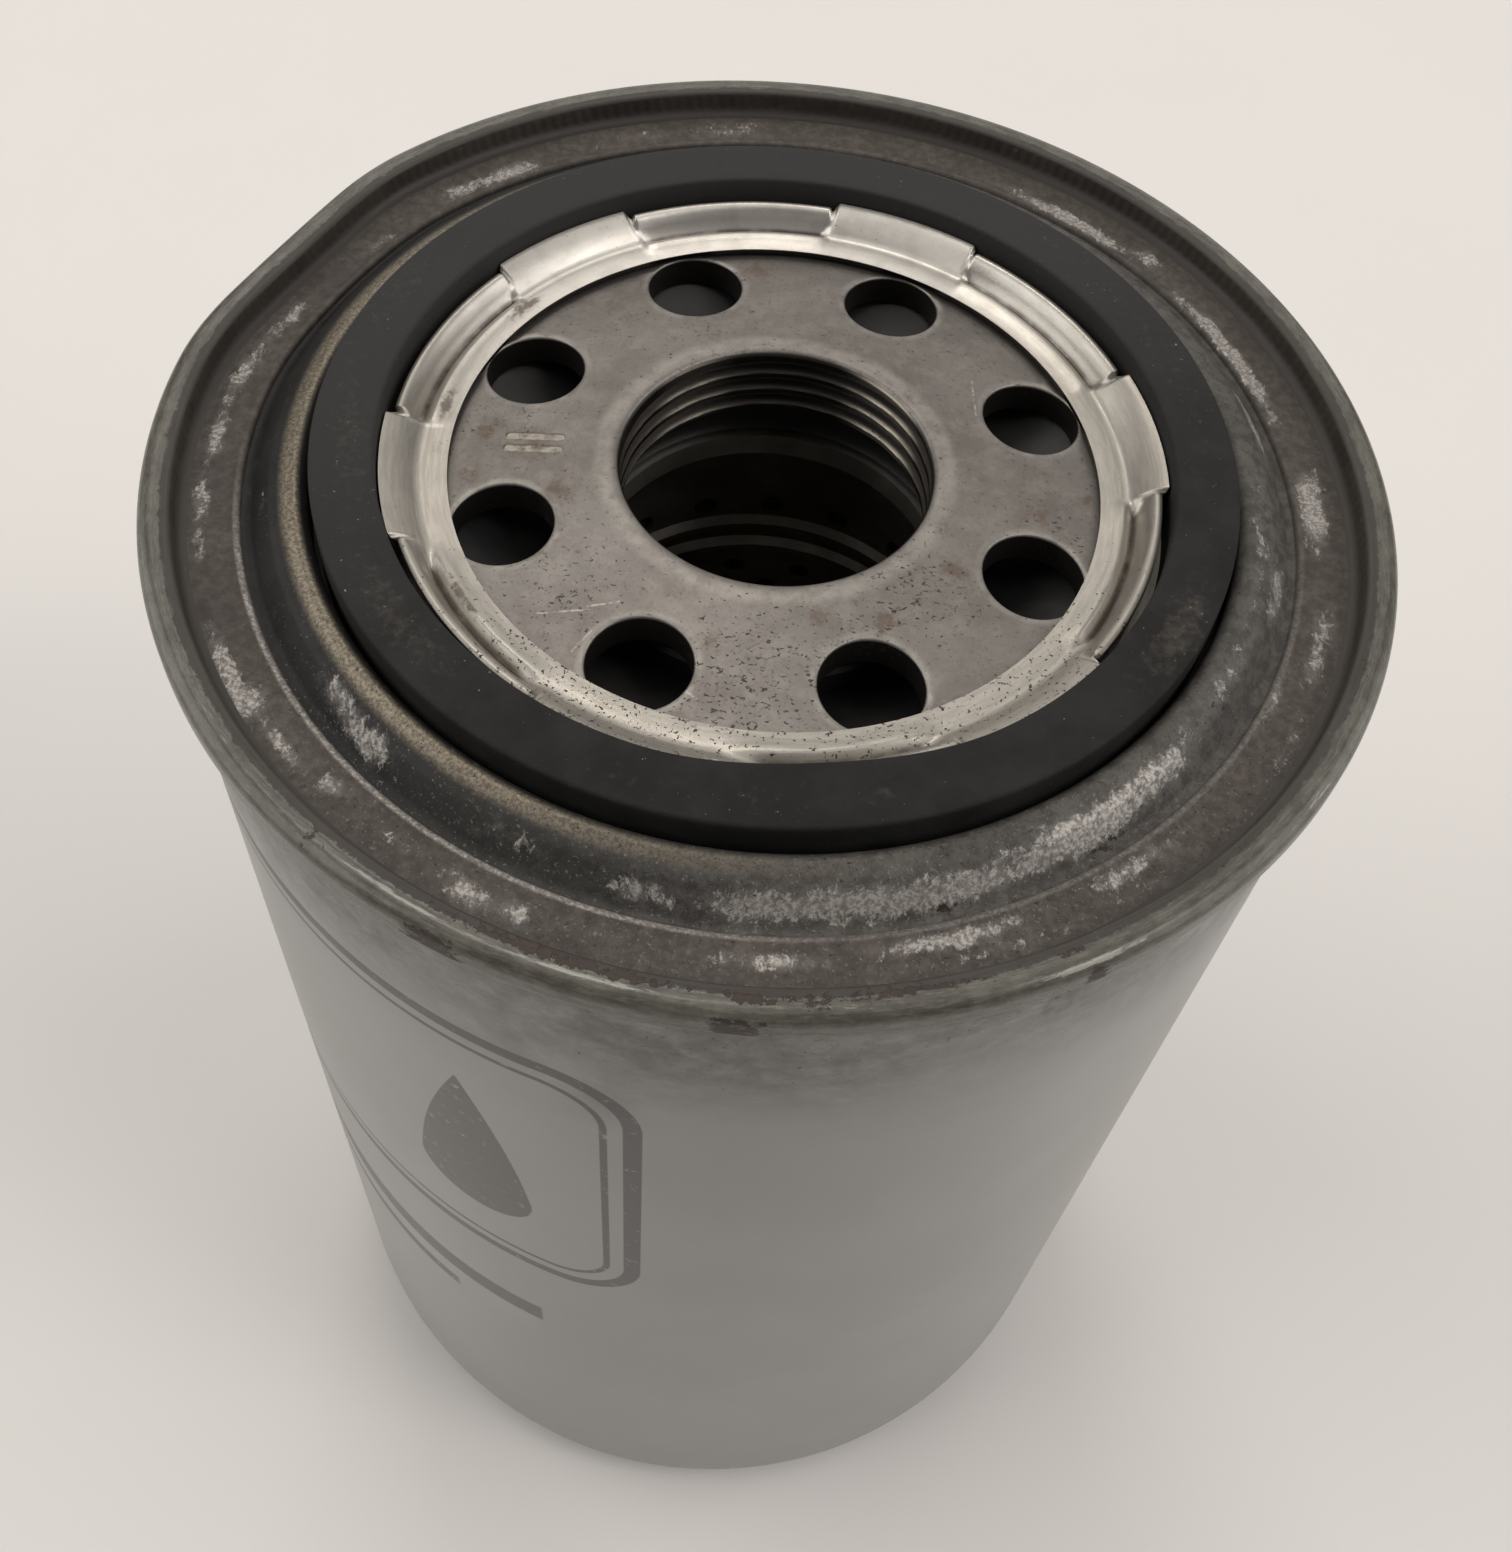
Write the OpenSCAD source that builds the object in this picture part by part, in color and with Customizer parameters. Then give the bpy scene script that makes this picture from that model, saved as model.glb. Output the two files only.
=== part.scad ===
// Spin-on oil filter, taken apart into the pieces it is made of: a drawn can
// with a double-seamed lid, a threaded base plate, a gasket, and a sprung
// pleated element with its own bypass valve. Millimetres, +Z up, origin at the
// centre of the can's resting face. Depths are measured down from the seam.

/* [Can and seam] */
// Height of the seam's top above the resting face
seam_top = 154.5; // [140:0.5:180]
// Outer radius of the rolled seam
seam_r = 55; // [54.5:0.1:56]
// Height of the rolled seam
seam_h = 3; // [2.8:0.1:3.6]
// Thickness of the can's sheet
can_t = 0.5; // [0.4:0.05:0.5]
// Radius of the bend between the can's wall and its closed end
corner_r = 10; // [6:1:14]
// Depth of the shallow dish in the closed end
dish_depth = 2; // [1:0.5:3]

/* [Lid] */
// Thickness of the lid's sheet
lid_t = 0.55; // [0.5:0.05:0.55]
// Depth of the flat ring inside the seam
ring_depth = 2.6; // [2.2:0.1:3]
// Radius of the step at the foot of the lid's bead
step_r = 46.8; // [46:0.1:48]
// Number of tabs that are crimped over the gasket
tab_count = 6; // [4:1:6]
// Width of one tab, in degrees
tab_angle = 25; // [15:1:30]

/* [Gasket] */
// Outer diameter of the gasket
gasket_od = 81; // [80.6:0.1:81.4]
// Inner diameter of the gasket
gasket_id = 70; // [69.8:0.1:70.4]
// Height of the gasket
gasket_h = 6; // [5.5:0.1:6.5]
// How far the gasket stands above the seam
gasket_stand = 2.1; // [1.5:0.1:2.2]

/* [Base plate] */
// Thickness of the plate
plate_t = 3; // [2.8:0.1:3.2]
// Radius of the plate's rim
plate_r = 49.5; // [47:0.5:50]
// Minor radius of the thread, the radius of its bore
thread_minor_r = 13.9; // [13.8:0.05:14]
// Major radius of the thread
thread_major_r = 15; // [14.9:0.05:15.1]
// Pitch of the thread
thread_pitch = 2; // [1.5:0.25:2]
// Number of thread grooves in the neck
thread_turns = 3; // [2:1:3]
// Number of inlet holes
inlet_count = 8; // [6:1:8]
// Radius of one inlet hole
inlet_r = 4.5; // [3:0.1:4.6]
// Radius of the circle that the inlet holes lie on
inlet_circle_r = 25; // [24.5:0.1:25.2]

/* [Element] */
// Depth of the element's upper end
element_depth = 15; // [15:0.5:18]
// Height of the element's lower end above the resting face
element_base = 24; // [23:0.5:30]
// Radius of the element's end caps
cap_r = 47; // [46:0.5:49]
// Inner radius of the centre tube
tube_r = 21.2; // [20.5:0.1:21.5]
// Number of pleats
pleat_count = 54; // [30:1:58]
// Thickness of the filter paper
paper_t = 0.5; // [0.3:0.05:0.5]

/* [Springs] */
// Number of turns in the spring under the element
support_turns = 4; // [3:1:6]
// Number of turns in the bypass spring
bypass_turns = 6; // [4:1:7]

/* [Hidden] */

$fn = 96;
fit = 0.05;                  // clearance between pieces that touch
joint_gap = 0.3;             // clearance between pieces that move apart

// Seam: layers counted inwards from the outside are the lid's outer panel, the
// can's hook, the lid's hook, the can's wall and the lid's inner wall.
hook_r = seam_r - lid_t - fit;                 // outside of the can's hook
cover_r = hook_r - can_t - fit;                // outside of the lid's hook
neck_r = cover_r - lid_t - fit;                // outside of the can in the seam
chuck_r = neck_r - can_t - fit - lid_t;        // inside of the lid's inner wall
can_r = neck_r + 0.25;                         // outside of the can's wall
seam_bend = 0.6;                               // rounding of the seam's edges
neck_depth = 4;                                // where the can narrows into the seam
swell_depth = 5.5;                             // where the can has its full radius again
can_fold = 1.4;                                // depth of the fold in the can's hook
hook_end = seam_h - lid_t - 0.2;               // depth of the end of the can's hook
cover_end = can_fold + 0.15;                   // depth of the end of the lid's hook

// Lid: an inner wall and an outer wall hold the gasket between them.
floor_depth = gasket_h - gasket_stand + fit;   // channel floor
inner_wall_r = gasket_id / 2 - 1.05;           // channel side of the inner wall
outer_wall_r = gasket_od / 2 + 0.4;            // channel side of the outer wall
bead_r = outer_wall_r + 1.5;                   // top of the bead outside the gasket
bead_round = 1.2;                              // radius of the bead's top
step_depth = ring_depth + 0.4;                 // lowest part of the step
ring_round = 0.8;                              // rounding between the ring and the inner wall
tab_tip_r = gasket_id / 2 - 0.25;              // tabs reach the gasket's inner face
wall_end = 0.4;                                // depth of the inner wall's end, in the lip
lip_in_r = 29.1;                               // inner edge of the lip on the plate
lip_depth = 1.75;                              // depth of the lip's inner edge
lip_rise = 0.25;                               // how far the lip stands above the seam
lip_t = 0.65;                                  // thickness of the folded lip
tab_pitch = 360 / tab_count;
first_tab = 12;                                // direction of the first tab's middle
lip_lap = 0.2;                                 // overlap of neighbouring lip sectors, in degrees

// Base plate: domed middle, a shoulder under the lip, and a flat rim.
plate_mouth_r = 14.8;                          // widest part of the thread's mouth
plate_mouth_depth = 1.45;
chamfer_depth = 0.9;
dome_slope = 0.088;                            // fall of the dome per millimetre outwards
shoulder_r = 31.4;                             // start of the shoulder
thread_land = thread_pitch / 4;                // flat between two grooves
wall_top = plate_mouth_depth + chamfer_depth;  // depth where the thread's wall starts
wall_h = thread_turns * thread_pitch + thread_land;
neck_end = wall_top + wall_h + 0.35;           // depth of the neck's lower end
neck_wall_r = thread_major_r + 2.2;
rim_depth = floor_depth + lid_t + fit;         // plate's flat rim, under the lid's floor
shoulder_in = shoulder_r - 0.4;                // shoulder's start on the underside
holes_start = 22.5;                            // direction of the first inlet hole

// Anti-drainback valve: a collar below the neck and a skirt under the plate.
collar_r = 19;
collar_top = 8;
collar_end = element_depth - joint_gap - fit;
skirt_foot = 11;
skirt_t = 1.4;
skirt_r = shoulder_in - 0.2;

// Element
cap_t = 0.6;
cap_rim_h = 6;
tube_t = 0.5;
potting_t = 2.9;
ledge_r = 16.5;                                // hole in the upper cap
element_top = seam_top - element_depth;
media_top = element_top - cap_t - fit - potting_t;
media_bottom = element_base + cap_t + fit + potting_t;
media_r = cap_r - 1.4;
media_in_r = tube_r + tube_t + 0.9;
fold_w = 1.2;                                  // width of one fold of the paper
potting_in_r = tube_r + tube_t + fit;
potting_out_r = cap_r - 1.25;                  // clear of the bend in the cap's edge

// Centre tube: a row and a staggered row of holes, then two ribs, again and again.
row_pitch = 14;
row_count = 7;
holes_per_row = 18;
hole_r = 1.25;
first_row = 30.4;                              // depth of the first row
stagger_rise = 3.5;                            // the staggered row stands this much higher
rib_drops = [2.9, 6.4];                        // ribs, measured down from a row
rib_h = 0.7;
rib_w = 2.4;
tube_top = element_top - cap_t - fit;
tube_bottom = element_base + cap_t + fit;

// Bypass valve, stacked on the lower end cap
port_r = 15.2;                                 // hole in the lower cap
valve_r = 18.5;                                // outside of the stacked flanges
seat_z = element_base + cap_t + 0.8 + 2 * fit; // underside of the valve seat
seat_t = 0.8;
seat_in_r = 9;
seat_lip_h = 0.7;
cage_z = seat_z + seat_t + fit;
cage_r = 13.2;
cage_t = 0.6;
crown_z = cage_z + 18;
bush_h = 3;
stem_r = 2;
stem_clearance = 0.06;
window_count = 4;
window_w = 11;
window_margin = 2.5;                           // wall left above and below a window
seal_z = seat_z + seat_t + seat_lip_h + 0.1;
seal_t = 0.9;
poppet_r = 11.2;
poppet_t = 0.8;
poppet_z = seal_z + seal_t + fit;
stem_end = crown_z + bush_h + 1.5;

// Springs
bypass_wire_r = 0.6;
bypass_coil_r = 7;
support_wire_r = 1;
support_coil_r = 22;
spring_seat_t = 0.8;
spring_seat_drop = 3.9;                        // from the lower cap down to the seat
support_floor = dish_depth + can_t + fit;
support_ceiling = element_base - spring_seat_drop - fit;

// A point at radius r and depth d below the seam's top.
function at(r, d) = [r, seam_top - d];

// Points of an arc about a centre, from angle a to angle b.
function arc(centre, r, a, b, steps) =
    [for (k = [0:steps]) let (t = a + (b - a) * k / steps) centre + r * [cos(t), sin(t)]];

// The unit normal on the right-hand side of the way from a to b.
function right_of(a, b) = let (d = (b - a) / norm(b - a)) [d[1], -d[0]];

// One point of a line, moved sideways by t so that both its neighbours' edges move by t.
function moved(line, i, t) =
    let (
        last = len(line) - 1,
        n1 = right_of(line[max(i, 1) - 1], line[max(i, 1)]),
        n2 = right_of(line[min(i, last - 1)], line[min(i, last - 1) + 1]),
        m = n1 + n2
    ) line[i] + m * (2 * t / (m * m));

// The outline of a sheet of thickness t, with the line as one of its faces.
function sheet(line, t) =
    concat(line, [for (i = [len(line) - 1:-1:0]) moved(line, i, t)]);

// A closed loop of points, moved sideways by t.
function loop_moved(loop, t) =
    let (n = len(loop))
    [for (i = [0:n - 1]) moved([loop[(i + n - 1) % n], loop[i], loop[(i + 1) % n]], 1, t)];

// A ring with a rectangular section, from height z0 to height z1.
module ring(r_in, r_out, z0, z1) {
    rotate_extrude() translate([r_in, z0]) square([r_out - r_in, z1 - z0]);
}

// Something repeated around the axis.
module around(count, start = 0) {
    for (k = [0:count - 1]) rotate([0, 0, start + k * 360 / count]) children();
}

// A coil spring between two flat faces, its end turns lying flat.
module coil_spring(coil_r, wire_r, turns, z0, z1) {
    sides = 8;
    steps = 24;
    rings = (turns + 2) * steps;
    flat = 0.75;
    rise = (z1 - z0 - 2 * wire_r) / (turns + 2 - 2 * flat);
    function height(k) = z0 + wire_r + rise * min(max(k / steps - flat, 0), turns + 2 - 2 * flat);
    points = [for (k = [0:rings], s = [0:sides - 1])
        let (a = 360 * k / steps, b = 360 * (s + 0.5) / sides, r = coil_r + wire_r * cos(b))
        [r * cos(a), r * sin(a), height(k) + wire_r * sin(b)]];
    tube_faces = [for (k = [0:rings - 1], s = [0:sides - 1])
        [k * sides + s, k * sides + (s + 1) % sides,
         (k + 1) * sides + (s + 1) % sides, (k + 1) * sides + s]];
    first_cap = [for (s = [sides - 1:-1:0]) s];
    last_cap = [for (s = [0:sides - 1]) rings * sides + s];
    polyhedron(points, concat(tube_faces, [first_cap, last_cap]), convexity = 8);
}

// Drawn steel can: dished end, wall, and a hook that locks into the seam.
module can() {
    dish_r = 29;
    foot_r = 33;
    outside = concat(
        [[0, dish_depth], [dish_r, dish_depth], [foot_r, 0]],
        arc([can_r - corner_r, corner_r], corner_r, -90, 0, 8),
        [at(can_r, swell_depth), at(neck_r, neck_depth), at(neck_r, can_fold)],
        [at(hook_r - can_t, can_fold), at(hook_r - can_t, hook_end)]);
    color("#c9c9c6") rotate_extrude() polygon(sheet(outside, -can_t));
}

// Sealing compound in the top of the seam, between the can's fold and the lid.
module seam_sealant() {
    color("#5b6157")
    ring(neck_r - can_t, hook_r, seam_top - can_fold + can_t + fit, seam_top - lid_t - fit);
}

// Lip of the lid: one sector of it, from the plate up to the gasket.
module lip_sector(line, start, width) {
    rotate([0, 0, start]) rotate_extrude(angle = width) polygon(sheet(line, lip_t));
}

// Lid: gasket channel, bead, flat ring and the outside of the seam, with a lip
// folded over the plate whose tabs hold the gasket.
module seaming_lid() {
    channel = [at(inner_wall_r, wall_end), at(inner_wall_r, floor_depth), at(outer_wall_r, floor_depth)];
    bead = concat(
        [at(outer_wall_r + 0.2, bead_round)],
        arc(at(bead_r, bead_round), bead_round, 150, 55, 5),
        [at(step_r - 0.3, step_depth - 0.1), at(step_r, step_depth),
         at(step_r + 0.5, step_depth - 0.3)]);
    recess = concat(
        [at(chuck_r - 1.5 * ring_round, ring_depth)],
        arc(at(chuck_r - ring_round, ring_depth - ring_round), ring_round, -60, 0, 3));
    seam = concat(
        arc(at(chuck_r + seam_bend, seam_bend), seam_bend, 180, 90, 4),
        arc(at(seam_r - seam_bend, seam_bend), seam_bend, 90, 0, 4),
        [at(seam_r, seam_h), at(neck_r + fit, seam_h), at(neck_r + fit, cover_end)]);
    pressed_lip = [at(lip_in_r + 0.1, lip_depth - 0.05), at(31, 1.6), at(31.8, 1.85), at(32.5, 1.55),
        at(inner_wall_r - 0.55, 0), at(inner_wall_r, -lip_rise)];
    tab_lip = [at(lip_in_r, lip_depth), at(30.8, lip_depth), at(31.7, 1.5), at(33.2, wall_end),
        at(tab_tip_r - 0.4, -0.15), at(tab_tip_r, -lip_rise)];
    color("#8d8a85") union() {
        rotate_extrude() polygon(sheet(concat(channel, bead, recess, seam), lid_t));
        for (k = [0:tab_count - 1]) {
            middle = first_tab + k * tab_pitch;
            lip_sector(tab_lip, middle - tab_angle / 2, tab_angle);
            lip_sector(pressed_lip, middle + tab_angle / 2 - lip_lap,
                tab_pitch - tab_angle + 2 * lip_lap);
        }
    }
}

// Base plate: thick disc with a threaded neck and a ring of inlet holes.
module base_plate() {
    dome_end = plate_mouth_depth + dome_slope * (shoulder_r - plate_mouth_r);
    underside = rim_depth + plate_t;
    fillet_r = neck_wall_r + 2.3;
    edge = 0.5;
    outline = [
        at(thread_minor_r, wall_top), at(plate_mouth_r, plate_mouth_depth), at(shoulder_r, dome_end),
        at(shoulder_r + 1.8, rim_depth), at(plate_r - edge, rim_depth), at(plate_r, rim_depth + edge),
        at(plate_r, underside - edge), at(plate_r - edge, underside), at(shoulder_in + 1.8, underside),
        at(shoulder_in, dome_end + plate_t), at(fillet_r, plate_mouth_depth + plate_t + 0.4),
        at(neck_wall_r + 0.5, neck_end - 2.6), at(neck_wall_r, neck_end - 1.8),
        at(neck_wall_r, neck_end), at(thread_minor_r + 0.35, neck_end),
        at(thread_minor_r, wall_top + wall_h)];
    groove_h = thread_pitch - thread_land;
    crest_h = thread_pitch / 8;
    color("#b9b4ab") difference() {
        rotate_extrude() polygon(outline);
        for (k = [0:thread_turns - 1]) {
            middle = wall_top + thread_land + groove_h / 2 + k * thread_pitch;
            rotate_extrude() polygon([
                at(thread_minor_r - 1, middle - groove_h / 2), at(thread_minor_r, middle - groove_h / 2),
                at(thread_major_r, middle - crest_h / 2), at(thread_major_r, middle + crest_h / 2),
                at(thread_minor_r, middle + groove_h / 2), at(thread_minor_r - 1, middle + groove_h / 2)]);
        }
        around(inlet_count, holes_start) translate([inlet_circle_r, 0, seam_top - underside - 1])
            cylinder(r = inlet_r, h = underside, $fn = 48);
    }
}

// Gasket: square-cut rubber ring with small bevels, held in the lid's channel.
module gasket() {
    bevel = 0.3;
    r0 = gasket_id / 2;
    r1 = gasket_od / 2;
    top = seam_top + gasket_stand;
    bottom = top - gasket_h;
    color("#2b2a29") rotate_extrude() polygon([[r0, bottom], [r1, bottom], [r1, top - bevel],
        [r1 - bevel, top], [r0 + bevel, top], [r0, top - bevel]]);
}

// Anti-drainback valve: rubber collar with a skirt that shuts the inlet holes.
module anti_drainback_valve() {
    bore_r = neck_wall_r + fit;
    bevel = 0.4;
    edge_depth = plate_mouth_depth + dome_slope * (shoulder_r - plate_mouth_r) + plate_t + fit;
    color("#232322") rotate_extrude() polygon([
        at(bore_r, collar_top), at(collar_r - bevel, collar_top), at(collar_r, collar_top + bevel),
        at(collar_r, skirt_foot), at(skirt_r - 1, edge_depth), at(skirt_r, edge_depth),
        at(skirt_r, edge_depth + skirt_t / 2), at(collar_r, skirt_foot + skirt_t),
        at(collar_r, collar_end), at(bore_r, collar_end)]);
}

// End cap of the element: a flat ring with an outer rim that holds the potting.
module end_cap(hole_r, z, up) {
    color("#a7a59f") {
        mirror([0, 0, up ? 0 : 1]) translate([0, 0, up ? z : -z]) rotate_extrude()
            polygon(sheet([[hole_r, 0], [cap_r - 1, 0], [cap_r, 1], [cap_r, cap_rim_h]], -cap_t));
    }
}

module upper_end_cap() {
    collar_h = 2.5;
    union() {
        end_cap(ledge_r, element_top, false);
        color("#a7a59f")
        ring(ledge_r, ledge_r + cap_t, element_top - collar_h, element_top - cap_t / 2);
    }
}

module lower_end_cap() {
    end_cap(port_r, element_base, true);
}

// Adhesive that bonds the paper to the caps.
module upper_potting() {
    color("#7c3f2c") ring(potting_in_r, potting_out_r, media_top + fit, media_top + potting_t);
}

module lower_potting() {
    color("#7c3f2c") ring(potting_in_r, potting_out_r, media_bottom - potting_t, media_bottom - fit);
}

// Pleated paper: one closed zigzag band with flat folds inside and outside.
module pleated_media() {
    fold_out = fold_w / 2 / media_r * 180 / PI;
    fold_in = fold_w / 2 / media_in_r * 180 / PI;
    pitch = 360 / pleat_count;
    loop = [for (k = [0:pleat_count - 1], c = [
            [media_r, -fold_out], [media_r, fold_out],
            [media_in_r, pitch / 2 - fold_in], [media_in_r, pitch / 2 + fold_in]])
        let (a = k * pitch + c[1]) c[0] * [cos(a), sin(a)]];
    color("#cdb98a") translate([0, 0, media_bottom])
    linear_extrude(media_top - media_bottom) difference() {
        polygon(loop);
        polygon(loop_moved(loop, -paper_t));
    }
}

// Folded steel strip that joins the two ends of the paper.
module pleat_seam_clip() {
    clip_t = 0.3;
    half_w = fold_w / 2 + 0.35;
    depth = 3.5;
    color("#b3b1ab") translate([media_r + 0.1 - depth, 0, media_bottom + fit])
    linear_extrude(media_top - media_bottom - 2 * fit) difference() {
        translate([0, -half_w - clip_t]) square([depth + clip_t, 2 * (half_w + clip_t)]);
        translate([-1, -half_w]) square([depth + 1, 2 * half_w]);
    }
}

// Centre tube: rolled steel with inward ribs and rows of small round holes.
module centre_tube() {
    rib_depths = [for (k = [0:row_count - 1], d = rib_drops) first_row + k * row_pitch + d];
    ribbed = [for (d = rib_depths, p = [[0, -rib_w / 2], [-rib_h, -rib_w / 6],
        [-rib_h, rib_w / 6], [0, rib_w / 2]]) at(tube_r + p[0], d + p[1])];
    line = concat([[tube_r, tube_top]], ribbed, [[tube_r, tube_bottom]]);
    row_depths = [for (k = [0:row_count - 1]) first_row + k * row_pitch];
    color("#8f8d88") difference() {
        rotate_extrude() polygon(sheet(line, -tube_t));
        for (k = [0:row_count - 1]) {
            hole_row(row_depths[k], 0);
            if (k > 0) hole_row(row_depths[k] - stagger_rise, 0.5);
        }
    }
}

// One row of the tube's holes, turned by a part of the spacing.
module hole_row(depth, turned) {
    spacing = 360 / holes_per_row;
    reach = 2;
    around(holes_per_row, (0.5 + turned) * spacing) translate([tube_r - reach, 0, seam_top - depth])
        rotate([0, 90, 0]) cylinder(r = hole_r, h = 2 * reach, $fn = 16);
}

// Fibre washer between the valve seat and the lower cap.
module bypass_gasket() {
    color("#6d6a5e") ring(port_r + 0.3, valve_r, element_base + cap_t + fit, seat_z - fit);
}

// Valve seat: flat ring with a raised sealing lip.
module bypass_seat() {
    lip_w = 0.8;
    color("#b7b5b0") rotate_extrude() polygon([
        [seat_in_r, seat_z], [valve_r, seat_z], [valve_r, seat_z + seat_t],
        [seat_in_r + 2 * lip_w, seat_z + seat_t], [seat_in_r + lip_w, seat_z + seat_t + seat_lip_h],
        [seat_in_r, seat_z + seat_t + seat_lip_h]]);
}

// Cage: flanged cup with windows in its wall and a bush for the valve's stem.
module bypass_cage() {
    bore = stem_r + stem_clearance;
    bush_r = bore + 1;
    reach = 3;
    color("#aeaca6") difference() {
        rotate_extrude() polygon([
            [cage_r - cage_t, cage_z], [valve_r, cage_z], [valve_r, cage_z + cage_t],
            [cage_r, cage_z + cage_t], [cage_r, crown_z + cage_t - 1], [cage_r - 1, crown_z + cage_t],
            [bush_r, crown_z + cage_t], [bush_r, crown_z + bush_h], [bore, crown_z + bush_h],
            [bore, crown_z], [cage_r - cage_t, crown_z]]);
        around(window_count, 45) translate([cage_r - reach, -window_w / 2, cage_z + window_margin])
            cube([2 * reach, window_w, crown_z - cage_z - 2 * window_margin]);
    }
}

// Poppet: stamped disc on a stem.
module bypass_poppet() {
    color("#c4c2bd") union() {
        translate([0, 0, poppet_z]) cylinder(r = poppet_r, h = poppet_t);
        translate([0, 0, poppet_z]) cylinder(r = stem_r, h = stem_end - poppet_z, $fn = 48);
    }
}

// Rubber washer under the poppet.
module bypass_seal() {
    color("#2b2a29") ring(seat_in_r - 1.5, poppet_r, seal_z, seal_z + seal_t);
}

// Spring that holds the poppet on its seat.
module bypass_spring() {
    color("#9b9a97")
    coil_spring(bypass_coil_r, bypass_wire_r, bypass_turns, poppet_z + poppet_t + fit, crown_z - fit);
}

// Hat-shaped steel ring that passes the support spring's push to the lower cap.
module spring_seat() {
    hat_in_r = 15;
    hat_r = 19.5;
    brim_r = 25.5;
    bend = 1;
    top = element_base - fit;
    brim_z = element_base - spring_seat_drop + spring_seat_t;
    drain_count = 6;
    drain_r = 1.2;
    color("#a3a19b") difference() {
        rotate_extrude() polygon(sheet([[hat_in_r, top], [hat_r - bend, top], [hat_r, top - bend],
            [hat_r, brim_z], [brim_r, brim_z], [brim_r, brim_z - 1.4]], spring_seat_t));
        around(drain_count) translate([(hat_in_r + hat_r - bend) / 2, 0, brim_z])
            cylinder(r = drain_r, h = spring_seat_drop, $fn = 24);
    }
}

// Spring that pushes the element up against the base plate's valve.
module support_spring() {
    color("#8e8d89")
    coil_spring(support_coil_r, support_wire_r, support_turns, support_floor, support_ceiling);
}

can();
seam_sealant();
seaming_lid();
base_plate();
gasket();
anti_drainback_valve();
upper_end_cap();
upper_potting();
pleated_media();
pleat_seam_clip();
centre_tube();
lower_potting();
lower_end_cap();
bypass_gasket();
bypass_seat();
bypass_cage();
bypass_spring();
bypass_poppet();
bypass_seal();
spring_seat();
support_spring();
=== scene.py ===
"""Looks of a spin-on oil filter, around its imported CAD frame. +Z up, origin under the can.

Most pieces are surfaces turned about the filter's axis. A function gives the section at each
direction, so a piece can be round and still carry tabs, dents, holes and a thread. Sections are
written in millimetres as (radius, depth), with depths measured down from the top of the seam.
Directions are in degrees: 0 is the filter's right (+X), 90 its back and -90 its front.
"""

from math import atan2, ceil, cos, degrees, hypot, pi, radians, sin

import bmesh
import bpy
from mathutils import Matrix, Vector


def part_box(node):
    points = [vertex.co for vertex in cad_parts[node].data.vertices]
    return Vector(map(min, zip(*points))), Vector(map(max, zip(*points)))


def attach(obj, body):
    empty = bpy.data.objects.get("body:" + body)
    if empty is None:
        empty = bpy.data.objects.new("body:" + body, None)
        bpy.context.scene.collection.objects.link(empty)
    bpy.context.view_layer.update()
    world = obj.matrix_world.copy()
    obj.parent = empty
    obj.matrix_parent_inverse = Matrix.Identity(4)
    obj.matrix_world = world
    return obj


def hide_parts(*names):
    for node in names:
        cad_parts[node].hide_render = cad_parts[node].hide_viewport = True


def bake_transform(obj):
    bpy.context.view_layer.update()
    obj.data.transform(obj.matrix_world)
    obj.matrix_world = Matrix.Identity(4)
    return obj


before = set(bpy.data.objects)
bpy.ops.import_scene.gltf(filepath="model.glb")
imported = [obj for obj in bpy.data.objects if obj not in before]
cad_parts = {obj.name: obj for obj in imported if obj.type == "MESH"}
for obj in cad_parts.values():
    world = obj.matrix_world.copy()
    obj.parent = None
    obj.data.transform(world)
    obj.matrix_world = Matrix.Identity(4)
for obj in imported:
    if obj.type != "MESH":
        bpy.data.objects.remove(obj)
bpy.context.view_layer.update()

MM = 0.001

# ------------------------------------------------ driving sizes (mm)


def outer_radius(node):
    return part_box(node)[1].x / MM


def top_of(node):
    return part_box(node)[1].z / MM


def foot_of(node):
    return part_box(node)[0].z / MM


LID_T = 0.55                            # thickness of the lid's sheet
SEAM_R = outer_radius("seaming_lid")
SEAM_TOP = top_of("seam_sealant") + LID_T + 0.05
GASKET_R = outer_radius("gasket")
GASKET_TOP = SEAM_TOP - top_of("gasket")  # a depth, so it is negative
GASKET_FOOT = SEAM_TOP - foot_of("gasket")
GASKET_WIDTH = 5.5
CAN_R = SEAM_R - 1.5                    # the can's wall
CAN_T = 0.5
CHUCK_R = SEAM_R - 2.85                 # inside of the seam
RING_DEPTH = 2.6                        # flat ring inside the seam
BEAD_R = 42.4                           # crest of the bead round the gasket
CHANNEL_OUT_R = 40.9
CHANNEL_IN_R = 33.95
CHANNEL_DEPTH = GASKET_FOOT + 0.05
LIP_IN_R = 29.1                         # inner edge of the lid's lip
LIP_OUT_R = 34.9
FIRST_TAB, TAB_PITCH, TAB_ANGLE = 12, 60, 25  # degrees
DENT_AT, DENT_HALF = 156.7, 13.5        # degrees
PLATE_R = outer_radius("base_plate")
PLATE_T = 3
MOUTH_R = 14.8
MOUTH_DEPTH = 1.45
DOME_SLOPE = 0.088
SHOULDER_R = 31.4
RIM_DEPTH = CHANNEL_DEPTH + 0.6
THREAD_MINOR_R, THREAD_MAJOR_R, THREAD_PITCH = 13.9, 15.0, 2.0
NECK_TOP = 2.35
NECK_END = SEAM_TOP - foot_of("base_plate")
NECK_R = 17.2
INLET_R, INLET_CIRCLE_R, INLET_COUNT, FIRST_INLET = 4.5, 25, 8, 22.5
LABEL_AT, LABEL_Z = -134, 109           # middle of the print: direction, height
SHARP = 38                              # degrees


# ------------------------------------------------------ mesh helpers

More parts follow.
